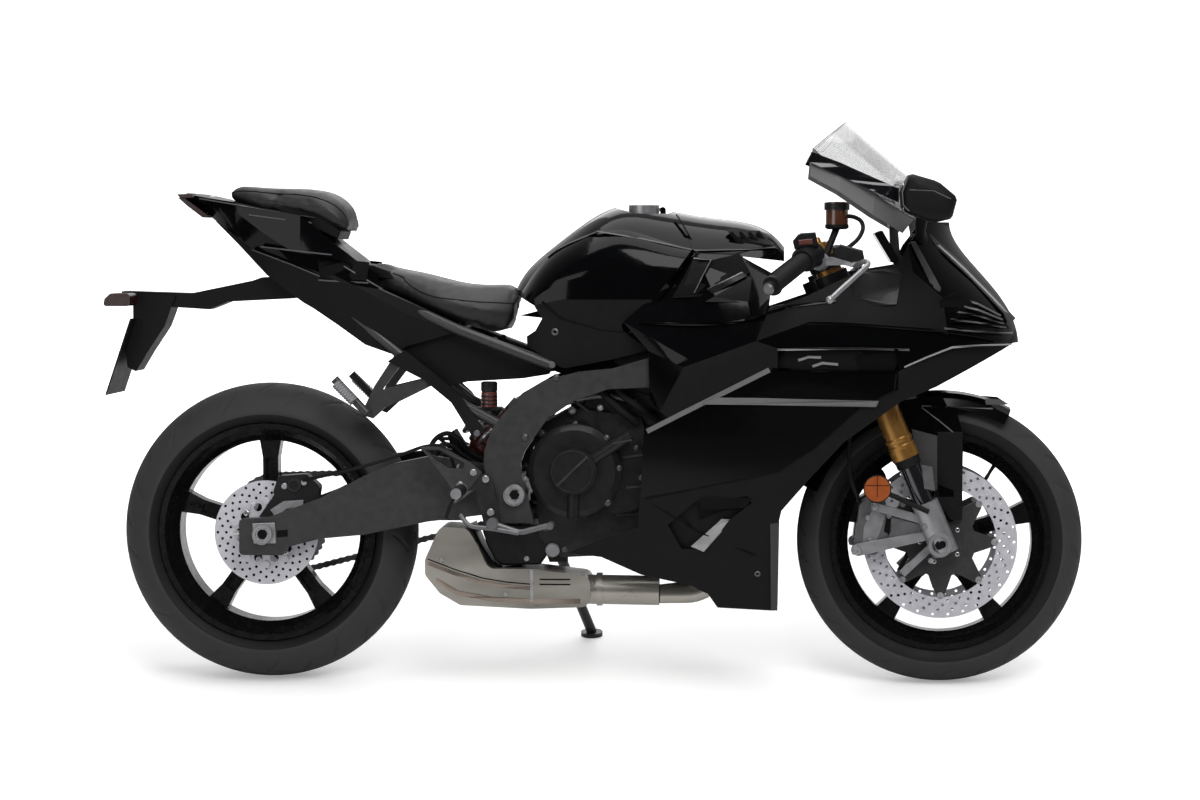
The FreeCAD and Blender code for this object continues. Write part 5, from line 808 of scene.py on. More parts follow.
def swell(piece):
    """Cover blown out like a filled cushion, by no more than the most it may move."""
    before = [vert.co.copy() for vert in piece.data.vertices]
    cloth = piece.modifiers.new("fill", "CLOTH")
    cloth.settings.use_pressure = True
    cloth.settings.uniform_pressure_force = SWELL_PUSH
    cloth.settings.tension_stiffness = 25
    cloth.settings.compression_stiffness = 25
    cloth.settings.bending_stiffness = 2.0
    cloth.settings.effector_weights.gravity = 0
    cloth.point_cache.frame_start = 1
    cloth.point_cache.frame_end = SWELL_FRAMES
    for number in range(1, SWELL_FRAMES + 1):
        bpy.context.scene.frame_set(number)
    bpy.ops.object.modifier_apply(modifier="fill")
    bpy.context.scene.frame_set(1)
    for vert, start in zip(piece.data.vertices, before):
        move = vert.co - start
        if move.length > SWELL_MOST:
            vert.co = start + move.normalized() * SWELL_MOST


def cushion(name, node):
    """Padded seat: the node's form, a little smaller, swollen under its cover."""
    source = nodes[node]
    mesh = source.data.copy()
    piece = bpy.data.objects.new(name, mesh)
    bpy.context.scene.collection.objects.link(piece)
    piece.matrix_world = source.matrix_world.copy()
    bpy.context.view_layer.update()
    bpy.context.view_layer.objects.active = piece
    middle = sum((vert.co for vert in mesh.vertices), Vector()) / len(mesh.vertices)
    for vert in mesh.vertices:
        vert.co = middle + (vert.co - middle) * SEAT_SHARE
    remesh = piece.modifiers.new("even", "REMESH")
    remesh.mode = "VOXEL"
    remesh.voxel_size = SEAT_VOXEL
    bpy.ops.object.modifier_apply(modifier="even")
    swell(piece)
    soft = piece.modifiers.new("smooth", "SMOOTH")
    soft.factor = 0.5
    soft.iterations = 3
    bpy.ops.object.modifier_apply(modifier="smooth")
    piece.data.materials.clear()
    piece.data.materials.append(LEATHER)
    piece.data.polygons.foreach_set("use_smooth", [True] * len(piece.data.polygons))
    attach(piece, "chassis")
    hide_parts(node)
    return piece


def piping(name, piece, line):
    """Raised seam laid on both sides of a cushion, under a line of points above it."""
    bpy.context.view_layer.update()
    back = PARK_BACK @ piece.matrix_world
    faces = [list(face.vertices) for face in piece.data.polygons]
    tree = BVHTree.FromPolygons([back @ vert.co for vert in piece.data.vertices], faces)

    def build(grid):
        for side in SIDES:
            above = curve_points([at(u, v, side * y) for u, v, y in line], 8)
            tube(grid, [tree.find_nearest(point)[0] for point in above], 0.0016, 8, 0)
    return shape_object(name, "chassis", RUBBER, build)


def seats():
    """Rider's and passenger's seats with their seams."""
    rider = cushion("rider_seat_pad", "rider_seat")
    passenger = cushion("passenger_seat_pad", "passenger_seat")
    piping("rider_seat_seams", rider, (
        (0.185, 0.765, 0.085), (0.225, 0.705, 0.100), (0.290, 0.672, 0.100), (0.360, 0.675, 0.085),
        (0.410, 0.690, 0.060),
    ))
    piping("passenger_seat_seams", passenger, (
        (-0.070, 0.892, 0.045), (0.000, 0.885, 0.072), (0.060, 0.875, 0.085), (0.125, 0.850, 0.092),
        (0.165, 0.810, 0.088),
    ))


# Painted lines, seams, slots and painted highlights on the bodywork
def body_lines():
    """Stripes, seams, slots, screws and a painted crease highlight on the fairing and the tank."""
    facets("fairing_stripe", STRIPE, [lane([(647, 431.5), (684, 412.5), (716, 396.5), (769.4, 369.5)], 5.0)], 0.001)
    facets("fairing_bar", STRIPE, [
        [
            (716, 397.3), (760, 397.6), (800, 398.6), (840, 399.4), (878.8, 400.2), (876, 406.4), (840, 406.0),
            (800, 405.4), (760, 404.6), (702, 404.3),
        ],
    ], 0.005)
    seams = [
        [
            (896, 373), (894, 390), (862.6, 405.7), (838, 428), (814, 449), (779, 471.6), (752, 478), (700, 488),
            (646, 499),
        ],
        [(650, 503), (700, 533), (756, 556)],
        [(806, 324), (861, 325), (940, 331), (1000, 340)],
        [(676, 214), (686, 230), (696, 248)],
    ]
    facets("body_seams", DARK, [lane(path, 1.3) for path in seams], 0.0004)
    facets("tank_panel", MATT, [
        [(726, 229.5), (759.5, 230.5), (774.5, 245.5), (739.5, 246.5)],
    ], 0.0008, names=["fuel_tank"])
    facets("tank_slots", DARK, [
        lane([(730.5, 232), (742, 244.6)], 3.6), lane([(739.5, 232), (750.7, 244.3)], 3.6),
        lane([(748.5, 232), (759.4, 244.3)], 3.6), lane([(757, 232), (767.5, 244.3)], 3.6),
    ], 0.0014, names=["fuel_tank"])
    # Pale strip along the tank's crease: a painted highlight.
    crease = [(545, 254.8), (568, 243), (597, 231), (640, 238), (694.7, 250), (735, 249.5), (775, 247)]
    facets("tank_crease_highlight", PALE, [lane(crease, 1.4)], 0.001, names=["fuel_tank"])
    bolts("body_screws", DULL, [
        (741, 291, UPPER, 0.0075), (758, 574, UPPER, 0.0065), (554.8, 331.8, ["knee_covers", "main_frame"], 0.008),
    ])


def duct_details():
    """Painted highlight on the edge over the side duct, painted reflections inside the duct, and the slots of the
    lower cowl.
    """
    facets("duct_shade", DARK, [
        [(777.5, 350.5), (820, 350), (870, 350), (905, 351), (894, 369.5), (850, 369.5), (810, 369), (774, 367.5)],
    ], 0.0006)
    # Grey strip along the winglet's lower edge over the duct: a painted highlight.
    facets("duct_edge_highlight", DULL, [lane([(777, 349.3), (820, 348.3), (870, 348.3), (908.7, 349.3)], 2.2)], 0.0026)
    # Bright strips in the duct opening: painted reflections on the parts inside it.
    facets("duct_reflections", BRIGHT, [
        lane([(798, 360), (808, 356.5), (821, 357)], 2.6), lane([(812, 366), (822, 362.5), (838, 364)], 2.6),
    ], 0.003)
    facets("duct_lip", GLOSS, [lane([(772, 368.9), (820, 370), (896, 370.5)], 2.4)], 0.0024)
    facets("cowl_slot", DARK, [[(700, 499), (714, 496.5), (753, 498), (746, 508), (720, 512), (700, 520)]], 0.0006)
    facets("cowl_slat", BRIGHT, [[(722, 519), (733, 519.5), (704, 552.5), (691, 547)]], 0.0026)
    facets("cowl_slat_small", PALE, [[(711, 499), (741, 498.5), (737, 503), (707, 506)]], 0.002)
    facets("cowl_front_strip", GREY, [[(770.5, 517), (779.0, 515), (778, 611), (771.5, 611)]], 0.0008)


def nose_details():
    """Running lamps, intake slats, edges and headlamp of the nose, with painted highlights on the running lamp and
    along the flank's crease.
    """
    blade = [(927, 236), (945, 252), (963.4, 269), (988, 294), (1012, 319.5)]
    facets("lamp_blade", GREY, [lane(blade, 5.6)], 0.0022)
    # Bright strip along the unlit running lamp: a painted highlight.
    facets("lamp_blade_highlight", BRIGHT, [lane(blade, 2.0)], 0.0034)
    facets("nose_intake", DARK, [[(938, 300), (952, 292), (998, 314), (1008, 328), (986, 331), (940, 325)]], 0.0005)
    facets("nose_slats", DULL, [
        lane([(953, 296), (976, 303), (999, 315)], 1.8), lane([(951, 303), (976, 309), (1001, 319)], 1.8),
        lane([(949, 310), (976, 315), (1003, 323)], 1.8), lane([(944, 318), (976, 322), (1006, 327)], 1.8),
    ], 0.0022)
    facets("nose_low_edge", DULL, [lane([(936, 327), (975, 331), (1011, 332)], 1.8)], 0.0022)
    # Bright line along the crease of the nose's flank: a painted highlight.
    facets("nose_flank_highlight", BRIGHT, [
        lane([(899, 368.5), (925, 357), (951, 346.5), (980, 344.5), (1010, 343.5)], 1.6),
    ], 0.002)
    facets("nose_inner_strip", GREY, [[(909, 242), (914, 241), (940, 288), (938.5, 292), (931, 287)]], 0.0024)
    facets("dash_side_panel", COVER, [
        [(852, 272), (895, 268), (901, 274), (896, 304), (866, 306), (852, 296)],
    ], 0.0016)
    lamp = at(1.060, 0.625)
    heads("lamp_lens", "chassis", LENS, [(lamp + AHEAD * 0.012, AHEAD)], LAMP_GLASS, 32)
    heads("lamp_shroud", "chassis", DARK_LENS, [(lamp, AHEAD)], LAMP_SHROUD, 40)


def inset_details():
    """Panels and bar between the tank and the fairing."""
    facets("inset_shade", DARK, [[(696, 252), (740, 254), (750, 272), (708, 296), (672, 298), (684, 276)]], 0.0004)
    facets("inset_plate", MATT, [[(693.5, 257), (712, 259), (693.5, 294), (682, 289)]], 0.003)
    facets("inset_bar", COVER, [[(707, 289), (742, 271.5), (747, 275.4), (712, 294)]], 0.006)
    facets("inset_rims", DULL, [
        lane([(693.5, 257.6), (711, 259.5), (694, 293)], 1.0),
        lane([(707, 289), (742, 271.8), (746.6, 275.2)], 1.0),
    ], 0.0066)
    facets("inset_edge", GLOSS, [lane([(694, 250), (678, 272), (655, 300)], 4.5)], 0.005)
    facets("cockpit_plate", MATT, [[(704.7, 301.5), (741, 281), (752, 275.5), (749, 303)]], 0.0016)
    facets("side_crease", GLOSS, [lane([(640, 322), (690, 325), (738, 322), (790, 306), (836, 300)], 2.6)], 0.0026)
    facets("knee_seam", DARK, [
        lane([(541, 302), (560, 318), (600, 330), (640, 334)], 1.3),
    ], 0.0004, names=["knee_covers", "side_panels", "fuel_tank"])


# Screen, mirrors and controls
def screen_details():
    """Dark lower band, screws and folded rims of the screen."""
    facets("screen_band", DARK_LENS, [
        [(811, 152), (840, 163), (870, 176.5), (898, 189), (898, 203), (870, 190.5), (840, 176.5), (806, 161)],
    ], 0.006, names=["screen_surround"])
    bolts("screen_screws", DULL, [(822, 162.5, ["screen_surround"], 0.004)])

    def rims(grid):
        sharp = 1.0
        shape = bmesh.new()
        node = nodes["windscreen"]
        shape.from_mesh(node.data)
        bmesh.ops.transform(shape, matrix=PARK_BACK @ node.matrix_world, verts=shape.verts)
        bmesh.ops.remove_doubles(shape, verts=shape.verts, dist=1e-5)
        for edge in shape.edges:
            if len(edge.link_faces) == 2 and edge.calc_face_angle(0.0) > sharp:
                tube(grid, [vert.co for vert in edge.verts], 0.0008, 6, 0)
        shape.free()
    shape_object("screen_rims", "chassis", DARK_LENS, rims)


def mirrors_made():
    """Rounded mirror heads with dark glass, on stalks from the nose."""
    rim = [
        (907, 173.5), (936, 182), (955, 198), (949.5, 219), (934, 222.5), (921, 219.5), (905, 213), (899.5, 207),
        (898, 191),
    ]
    swells = (
        (0.0, 0.50), (0.03, 0.80), (0.12, 0.97), (0.35, 1.0), (0.70, 1.0), (0.92, 0.95), (0.985, 0.80), (1.0, 0.55),
    )
    depth, near, wide = 0.272, 0.207, 0.131
    edge = []
    for (x, y), (far_x, far_y) in zip(rim, rim[1:] + rim[:1]):
        edge += [seen(x + (far_x - x) * share, y + (far_y - y) * share, depth) for share in (0.12, 0.5, 0.88)]
    middle = sum(edge, Vector()) / len(edge)

    def shell(grid):
        for side in SIDES:
            rows = []
            for share, grow in swells:
                row = [middle + (point - middle) * grow for point in edge]
                rows.append([grid.verts.new((point.x, side * (near + wide * share), point.z)) for point in row])
            for low, high in zip(rows, rows[1:]):
                banded(grid, low, high)
            grid.faces.new(rows[0])
            grid.faces.new(rows[-1])
            stalk = [at(0.968, 0.788, side * 0.098), at(0.966, 0.812, side * 0.150), at(0.968, 0.846, side * 0.222)]
            tube(grid, stalk, [0.0150, 0.0105, 0.0125, 0.0150], 14, 8)
    piece = shape_object("mirror_heads", "chassis", MATT, shell, 50)
    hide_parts("mirrors")

    def glass_face(grid):
        for side in SIDES:
            centre = at(0.968, 0.862, side * 0.2725) - AHEAD * 0.0452
            rows = []
            for grow, out in ((1.0, 0.0), (0.96, 0.0012)):
                row = []
                for step in range(40):
                    angle = 2 * math.pi * step / 40
                    c, s = math.cos(angle), math.sin(angle)
                    y = 0.057 * grow * math.copysign(abs(c) ** 0.6, c)
                    z = 0.030 * grow * math.copysign(abs(s) ** 0.7, s)
                    row.append(grid.verts.new(centre + Vector((-out, y, z))))
                rows.append(row)
            rows.append([grid.verts.new(centre - AHEAD * 0.0016)])
            for low, high in zip(rows, rows[1:]):
                banded(grid, low, high)
    shape_object("mirror_glass", "chassis", MIRROR, glass_face)
    # Grey lines: the mirror head's rim towards the rider, and a painted highlight along a facet.
    plates("mirror_rim_and_highlight", DULL, [
        (lane([(906, 178), (901, 192), (902, 205), (908, 211)], 1.2), 0.3368, 0.006),
        (lane([(908, 190), (932, 191), (949, 199)], 0.9), 0.3382, 0.006),
    ], both=True, chamfer=0.0004)


def control_details():
    """Ribbed grips, bar weights, switches, reservoir cap, hoses and fork caps at the bars."""
    inner = at(0.801, 0.757, 0.215)
    bars = pair(inner, at(0.750, 0.709, 0.345) - inner)

    def grips(grid):
        for foot, run in bars:
            tube(grid, [foot + run * (0.10 + 0.86 * step / 48) for step in range(49)], 0.0182, 18, 0, 0, 0.93)
            for share in (0.08, 0.975):
                turned(grid, foot + run * share, run, GRIP_COLLAR, 24)
    shape_object("grip_ribs", "steering", RUBBER, grips, 30)
    weights = [(foot + run * 1.02, run) for foot, run in bars]
    heads("bar_weights", "steering", DULL, weights, BAR_WEIGHT, 24)
    pods = [(foot + run * 0.02, run) for foot, run in bars]
    heads("switch_pods", "steering", MATT, pods, SWITCH_POD, 20)
    press = Vector((-0.55, -0.25, 0.8)).normalized()
    heads("switch_buttons", "steering", RED, pair(inner + press * 0.024, press), BUTTON, 16)
    heads("reservoir_cap", "steering", COVER, [(at(0.845, 0.812, -0.112), UP)], CUP_LID, 32, 30)
    rods("reservoir_hose", RUBBER, [
        [
            (846, 216, 0.112), (853, 217, 0.117), (860, 221, 0.126), (862, 229, 0.142), (857, 239, 0.165),
            (848, 247, 0.188),
        ],
    ], 0.0045, body="steering")
    route = (
        (0.858, 0.760, 0.172), (0.872, 0.762, 0.160), (0.878, 0.750, 0.140), (0.880, 0.715, 0.112),
        (0.885, 0.660, 0.098),
    )

    def hoses(grid):
        for side in SIDES:
            tube(grid, [at(u, v, side * y) for u, v, y in route], 0.0035, 10, 8)
    shape_object("bar_hoses", "steering", RUBBER, hoses)

    def bracket(grid):
        tube(grid, [(0.514, -0.112, 0.957), (0.503, -0.124, 0.930), (0.490, -0.139, 0.897)], 0.0074, 12, 4)
        turned(grid, Vector((0.514, -0.112, 0.953)), UP, CUP_BASE)
    shape_object("reservoir_bracket", "steering", MATT, bracket)
    plates("switch_blocks", MATT, [
        ([(794, 240), (800, 233), (815, 232), (818, 246), (796, 249)], 0.226, 0.03),
    ], both=True, chamfer=0.003, body="steering")
    plates("switch_rockers", RED, [
        ([(798, 240), (812, 238.5), (812, 244), (799, 245)], 0.2285, 0.006),
    ], body="steering")
    plates("master_cylinder", COVER, [
        ([(832, 247), (840, 244), (862, 250), (864, 260), (850, 262), (833, 257)], 0.214, 0.03),
    ], both=True, chamfer=0.003, body="steering")
    heads("fork_caps", "steering", GOLD, pair(fork(0.664, FORK_Y), FORK_UP), FORK_CAP, 24)


# Front wheel, fork and brakes
def fender_details():
    """Painted highlights along the front fender's edges and on its tip, and the leg guard's plate."""
    # Pale patch on the fender's tip: a painted highlight.
    facets("fender_tip_highlight", PALE, [
        [(984, 397.5), (1000, 398.5), (1008, 403.5), (985, 404.0)],
    ], 0.001, names=FRONT, body="steering")
    # Grey lines along the fender's top edge and side crease: painted highlights.
    facets("fender_edge_highlights", DULL, [
        lane([(921, 405.2), (955, 406.3), (992, 407.6)], 1.3), lane([(921, 406.5), (940, 421), (958, 436)], 1.3),
    ], 0.001, names=FRONT, body="steering")
    facets("leg_guard", MATT, [
        [(937, 431), (962, 431), (962, 519), (950, 519), (937, 500)],
    ], 0.0012, names=FRONT, body="steering")
    plates("leg_plate", GREY, [
        ([(911, 428), (937, 435), (937, 490), (918, 478)], 0.087, 0.003),
    ], both=True, body="steering")
    plates("leg_bracket", DULL, [
        ([(921, 464), (932, 466), (935, 490.4), (924, 488)], 0.121, 0.004),
    ], both=True, body="steering")


def fork_details():
    """Dust seals, rings, axle nuts, caliper parts, reflector frames and brake hoses at the fork."""
    heads("dust_seals", "steering", RUBBER, pair(fork(0.193, FORK_Y), FORK_UP), DUST_SEAL, 40)
    rings = [(fork(0.193 + low, side * FORK_Y), FORK_UP) for side in SIDES for low in (0.002, 0.020, 0.036)]
    heads("fork_rings", "steering", GOLD, rings, FORK_RING, 40)
    knobs("axle_rings", ALLOY, [(940, 544.5, 0.1285, 0.0255)], RING, steps=40, both=True, body="steering")
    knobs("axle_sockets", DARK, [(940, 544.5, 0.129, 0.011)], CUP, steps=6, both=True, body="steering")
    knobs("pinch_bolts", STEEL, [
        (925, 526, 0.124, 0.006), (931, 560, 0.124, 0.006),
    ], HEX, steps=6, both=True, body="steering")
    plates("caliper_faces", ALLOY, [
        ([(872.4, 508), (886, 514), (882, 528), (876, 543), (862, 546), (863.5, 526)], 0.101, 0.004),
    ], both=True, chamfer=0.0015, body="steering")
    plates("pad_slots", DARK, [
        ([(886.5, 517), (891, 520), (889.5, 534), (884, 531)], 0.1, 0.004),
    ], both=True, chamfer=0.0004, body="steering")
    plates("caliper_arms", ALLOY, [
        ([(852, 546.5), (857, 543.5), (924, 531), (926, 540), (859, 556), (852, 554)], 0.112, 0.01),
        ([(871, 502), (879, 502.5), (918, 514), (920, 523), (880, 512), (871, 509)], 0.112, 0.01),
    ], both=True, chamfer=0.0015, body="steering")
    plates("caliper_webs", DULL, [
        ([(891, 516), (919, 523), (922, 532), (886, 541), (891, 530)], 0.106, 0.005),
    ], both=True, body="steering")
    knobs("caliper_bolts", STEEL, [
        (856, 549.8, 0.112, 0.01), (875, 505.5, 0.112, 0.007), (868, 517, 0.101, 0.005), (870, 539, 0.101, 0.005),
    ], HEX, steps=20, both=True, body="steering")

    def frames(grid):
        for side in SIDES:
            root = fork(0.0736, side * 0.1323)
            lens = at(0.905, 0.352, side * 0.1323)
            tube(grid, [root, lens + (root - lens).normalized() * 0.026], 0.0053, 12, 0)
            turned(grid, at(0.905, 0.352, side * 0.1300), ACROSS * side, REFLECTOR_RIM, 36)
    shape_object("reflector_frames", "steering", RUBBER, frames)
    plates("reflector_lines", LAMP_RED, [
        (lane([(865.5, 485), (889, 485)], 0.7), 0.1393, 0.001),
        (lane([(877.3, 473.5), (877.3, 497)], 0.7), 0.1393, 0.001),
    ], both=True, chamfer=0.0002, body="steering")
    rods("front_brake_hoses", RUBBER, [
        [
            (877, 385, 0.098), (862, 402, 0.1), (852, 425, 0.094), (849, 450, 0.09), (851, 478, 0.088),
            (860, 503, 0.08),
        ],
    ], 0.0042, both=True, body="steering")


# Engine, frame and rider's controls
def engine_details():
    """Bolts, ribs, hoses and plugs on the engine and the spars, and the parts of the rear shock and brake."""
    cases = [
        (524.3, 438, SPAR, 0.0085), (541.3, 434, SPAR, 0.0085), (545.2, 529, SPAR, 0.0085),
        (606.5, 438.6, MOTOR, 0.008), (607.4, 503, MOTOR, 0.008), (575, 424, SPAR, 0.007),
    ]
    knobs("engine_bolts", BOLT, cases + [
        (525.7, 467, SPAR, 0.0085), (535.6, 501.5, SPAR, 0.0085), (564, 550.6, SPAR, 0.008),
        (618.6, 468.4, MOTOR, 0.007), (551.6, 366.4, SPAR, 0.008), (636, 448, MOTOR, 0.0065),
        (641, 478, MOTOR, 0.0065), (652, 505, MOTOR, 0.0065),
    ], DOME)
    knobs("left_engine_bolts", BOLT, cases + [
        (560, 446, MOTOR, 0.007), (560, 500, MOTOR, 0.007), (596, 470, MOTOR, 0.007),
    ], DOME, far=True)
    ribs = [[(612, 444), (632, 440)], [(622, 458), (643, 455)], [(626, 488), (648, 486)]]
    facets("left_case_ribs", FRAME, [lane(rib, 2.2) for rib in ribs], 0.0022, names=MOTOR, far=True)
    knobs("engine_plugs", ALLOY, [
        (572, 411, 0.12, 0.0085), (600, 408, 0.128, 0.007), (634, 402, 0.128, 0.006),
    ], DOME)
    rods("injector_rail", DULL, [
        [(562, 404, 0.112), (585, 398, 0.118), (606, 396, 0.118), (628, 400, 0.112)],
    ], 0.006)
    knobs("pivot_ring", ALLOY, [(513.6, 495.7, ["rear_axle", "main_frame"], 0.0215)], RING, steps=40)
    knobs("pivot_socket", DARK, [(513.6, 495.7, ["rear_axle", "main_frame"], 0.011)], RAISED_CUP, steps=6)
    knobs("clutch_rings", CAST, [(571.6, 472, ["engine_covers"], 0.044)], CASE_RING, steps=64)
    facets("clutch_seam", FRAME, [lane([(556, 487), (587, 457)], 2.2)], 0.0016, names=["engine_covers"], both=False)
    ribs.append([(616, 516), (640, 514)])
    facets("case_ribs", FRAME, [lane(rib, 2.2) for rib in ribs], 0.0022, names=MOTOR, both=False)
    plates("linkage_box", COVER, [
        (
            [(481, 531), (486, 525), (547, 526), (549, 552), (540, 566), (502, 567), (494, 562), (486, 547)], 0.102,
            0.15,
        ),
        (lane([(468, 527), (477, 547), (488, 564), (501, 572), (522, 570)], 7.0), 0.09, 0.1),
    ], chamfer=0.004)
    knobs("drain_plug", ALLOY, [(543.6, 561.3, MOTOR, 0.015)], HEX, steps=24)
    knobs("drain_bolt", STEEL, [(526, 560, 0.1022, 0.0065)], HEX, steps=6)
    rods("coolant_hoses", RUBBER, [
        [(596, 380, 0.112), (604, 394, 0.128), (620, 410, 0.13), (638, 424, 0.118)],
        [(612, 380, 0.112), (622, 394, 0.126), (640, 408, 0.126), (656, 418, 0.112)],
    ], 0.0085)
    # Near-black plates in the gap under the tank: painted shade.
    plates("gap_shade", DARK, [
        ([(548, 357), (566, 354), (622, 357), (628, 376), (562, 374), (548, 369)], 0.1, 0.02),
    ], both=True)
    rods("engine_cables", RUBBER, [
        [(560, 392, 0.15), (575, 402, 0.158), (590, 414, 0.16), (600, 428, 0.15)],
    ], 0.0032)

    def reservoir(grid):
        foot = seen(488.5, 408, 0.100)
        turned(grid, foot, UP, GAS_TANK, 32)
        for low in (0.006, 0.014, 0.022):
            turned(grid, foot + UP * low, UP, GAS_TANK_LINE, 32, 1)
        turned(grid, foot, UP, GAS_TANK_LID, 32, 1)
        tube(grid, [foot, (foot.x + 0.006, -0.060, foot.z - 0.012), (-0.235, -0.020, 0.560)], 0.0050, 10, 6, 1)
    shape_object("shock_reservoir", "chassis", [RED, COVER], reservoir)
    plates("reservoir_shelf", COVER, [([(470, 408), (500, 407.5), (504, 411), (470, 411.5)], 0.112, 0.04)])
    plates("brake_unit", RUBBER, [
        ([(446, 436), (452, 431), (462, 447), (484, 459), (480, 467), (452, 455)], 0.05, 0.09),
    ], chamfer=0.004)
    rods("brake_lines", RUBBER, [
        [
            (426, 454, 0.085), (434, 440, 0.082), (446, 434, 0.08), (458, 440, 0.08), (468, 452, 0.078),
            (482, 460, 0.074), (494, 466, 0.07),
        ],
        [(432, 458, 0.08), (440, 446, 0.078), (452, 447, 0.076), (464, 457, 0.074), (488, 470, 0.07)],
        [(438, 460, 0.075), (447, 452, 0.072), (460, 460, 0.072), (480, 468, 0.07)],
    ], 0.0052)

    def spring(grid):
        low, high = Vector((-0.158, 0, 0.440)), Vector((-0.288, 0, 0.585))
        first, second = frame_of(high - low)
        path = []
        for step in range(145):
            angle = 2 * math.pi * 6 * step / 144
            level = low + (high - low) * (0.14 + 0.66 * step / 144)
            path.append(level + first * (0.0285 * math.cos(angle)) + second * (0.0285 * math.sin(angle)))
        tube(grid, path, 0.0052, 10, 0)
    shape_object("shock_spring", "chassis", STEEL, spring)


def control_plates():
    """Heel plates, bolts, rear master cylinder, pedal edge and footpegs of the rider's controls."""
    outer = [(419, 448), (437, 448), (467, 462), (481, 473), (470, 488), (458, 503), (445.7, 482), (430, 462)]
    window = [(423.4, 450.5), (438.6, 450.5), (463.6, 464), (461.8, 469.3), (447.5, 469.3), (434, 460)]

    def heels(grid):
        loops = [[seen(x, y, 0.181) for x, y in line] for line in (outer, window)]
        pierced(grid, loops, -0.1815, -0.1785)
        pierced(grid, loops, 0.1785, 0.1815)
    shape_object("heel_guards", "chassis", BOLT, heels, 30)
    knobs("rearset_bolts", STEEL, [
        (472.5, 473.4, 0.1805, 0.007), (459, 486, 0.1805, 0.007), (484.7, 480, SPAR, 0.0075),
        (489.8, 513.4, SPAR, 0.0075), (473.8, 457.3, SPAR, 0.007),
    ], HEX, steps=20, both=True)
    rods("rear_master_cylinder", DULL, [
        [(452, 502, 0.16), (468, 490, 0.16), (486, 477, 0.16)],
    ], [0.006, 0.01, 0.01, 0.01, 0.007])
    rods("brake_pedal_edge", DULL, [
        [(459, 516, 0.19), (469, 527, 0.197), (490, 530, 0.199), (518, 534.5, 0.2)],
    ], 0.005)
    ridges = [(0.0118 if step % 2 else 0.0100, 0.004 * step) for step in range(29)] + [(0.0, 0.114)]

    def pegs(grid):
        for side in SIDES:
            turned(grid, Vector((-0.260, side * 0.205, 0.416)), ACROSS * side, ridges, 20)
            feeler = [(-0.262, side * 0.316, 0.410), (-0.272, side * 0.318, 0.392), (-0.280, side * 0.318, 0.366)]
            tube(grid, feeler, 0.0034, 10, 4)
    shape_object("peg_rubbers", "chassis", RUBBER, pegs)


# Exhaust, rear wheel and tail
def muffler_details():
    """Seams, heat marks with painted shade along the bottom, band and bolts of the silencer."""
    box = ["exhaust"]
    facets("muffler_seams", DARK, [
        lane([(426, 561), (452, 571), (481, 580), (506, 584), (531, 586)], 1.1),
        lane([(539, 581), (570, 581)], 1.4), lane([(539, 586), (570, 586)], 1.4),
    ], 0.0008, names=box, both=False)
    # Brown bands: heat tint below the seam, and painted shade along the silencer's bottom edge.
    facets("muffler_heat_and_shade", HEAT_AND_SHADE, [
        lane([(426, 565), (452, 575), (481, 584), (506, 588), (531, 590)], 4.0),
        lane([(434, 582), (456, 595), (490, 601), (531, 603), (580, 603)], 5.0),
    ], 0.0004, names=box, both=False)
    facets("muffler_bands", STEEL, [lane([(531, 571), (531.3, 603)], 3.4)], 0.0014, names=box, both=False)
    knobs("muffler_bolts", STEEL, [
        (592, 585, box, 0.0065), (440, 562, box, 0.0055), (505, 596, box, 0.0055),
    ], HEX, steps=6)


def rear_details():
    """Axle plates, adjusters, caliper parts and hose at the swingarm, and the chain guard."""
    plates("axle_plates", ALLOY, [([(248, 526), (271, 525), (272, 546), (249, 546)], 0.1375, 0.005)], both=True)
    knobs("axle_nuts", ALLOY, [(258.0, 536.9, 0.1453, 0.0212)], RING, steps=36, both=True)
    knobs("axle_holes", DARK, [(258.0, 536.9, 0.1454, 0.0105)], CUP, both=True)
    plates("arm_slots", DARK, [([(273, 533), (284, 532), (284, 539), (273, 540)], 0.134, 0.004)], both=True)
    rods("adjusters", STEEL, [[(248, 536, 0.119), (238, 536.4, 0.119), (230, 536.6, 0.119)]], 0.0038, both=True)
    rods("rear_brake_hose", RUBBER, [
        [
            (300, 482, 0.106), (318, 478, 0.128), (356, 469, 0.139), (398, 456, 0.139), (425, 447, 0.14),
            (444, 449, 0.15), (454, 470, 0.16), (462, 492, 0.16),
        ],
    ], 0.0036)
    knobs("rear_caliper_bolts", STEEL, [(281, 488, 0.101, 0.0065), (301, 484, 0.101, 0.0065)], HEX, steps=20)
    knobs("rear_caliper_piston", CAST, [(291, 487, 0.1008, 0.015)], RING, steps=32)
    plates("rear_caliper_bracket", ALLOY, [
        ([(266, 512), (280, 503), (300, 502), (300, 508), (283, 511), (272, 520)], 0.102, 0.004),
    ])

    def guard(grid):
        outline = ((0.120, 0.392), (0.235, 0.405), (0.330, 0.398), (0.330, 0.384), (0.235, 0.388), (0.122, 0.374))
        slab(grid, [at(u, v) for u, v in outline], 0.090, 0.122, 0.002)
    shape_object("chain_guard", "chassis", MATT, guard)


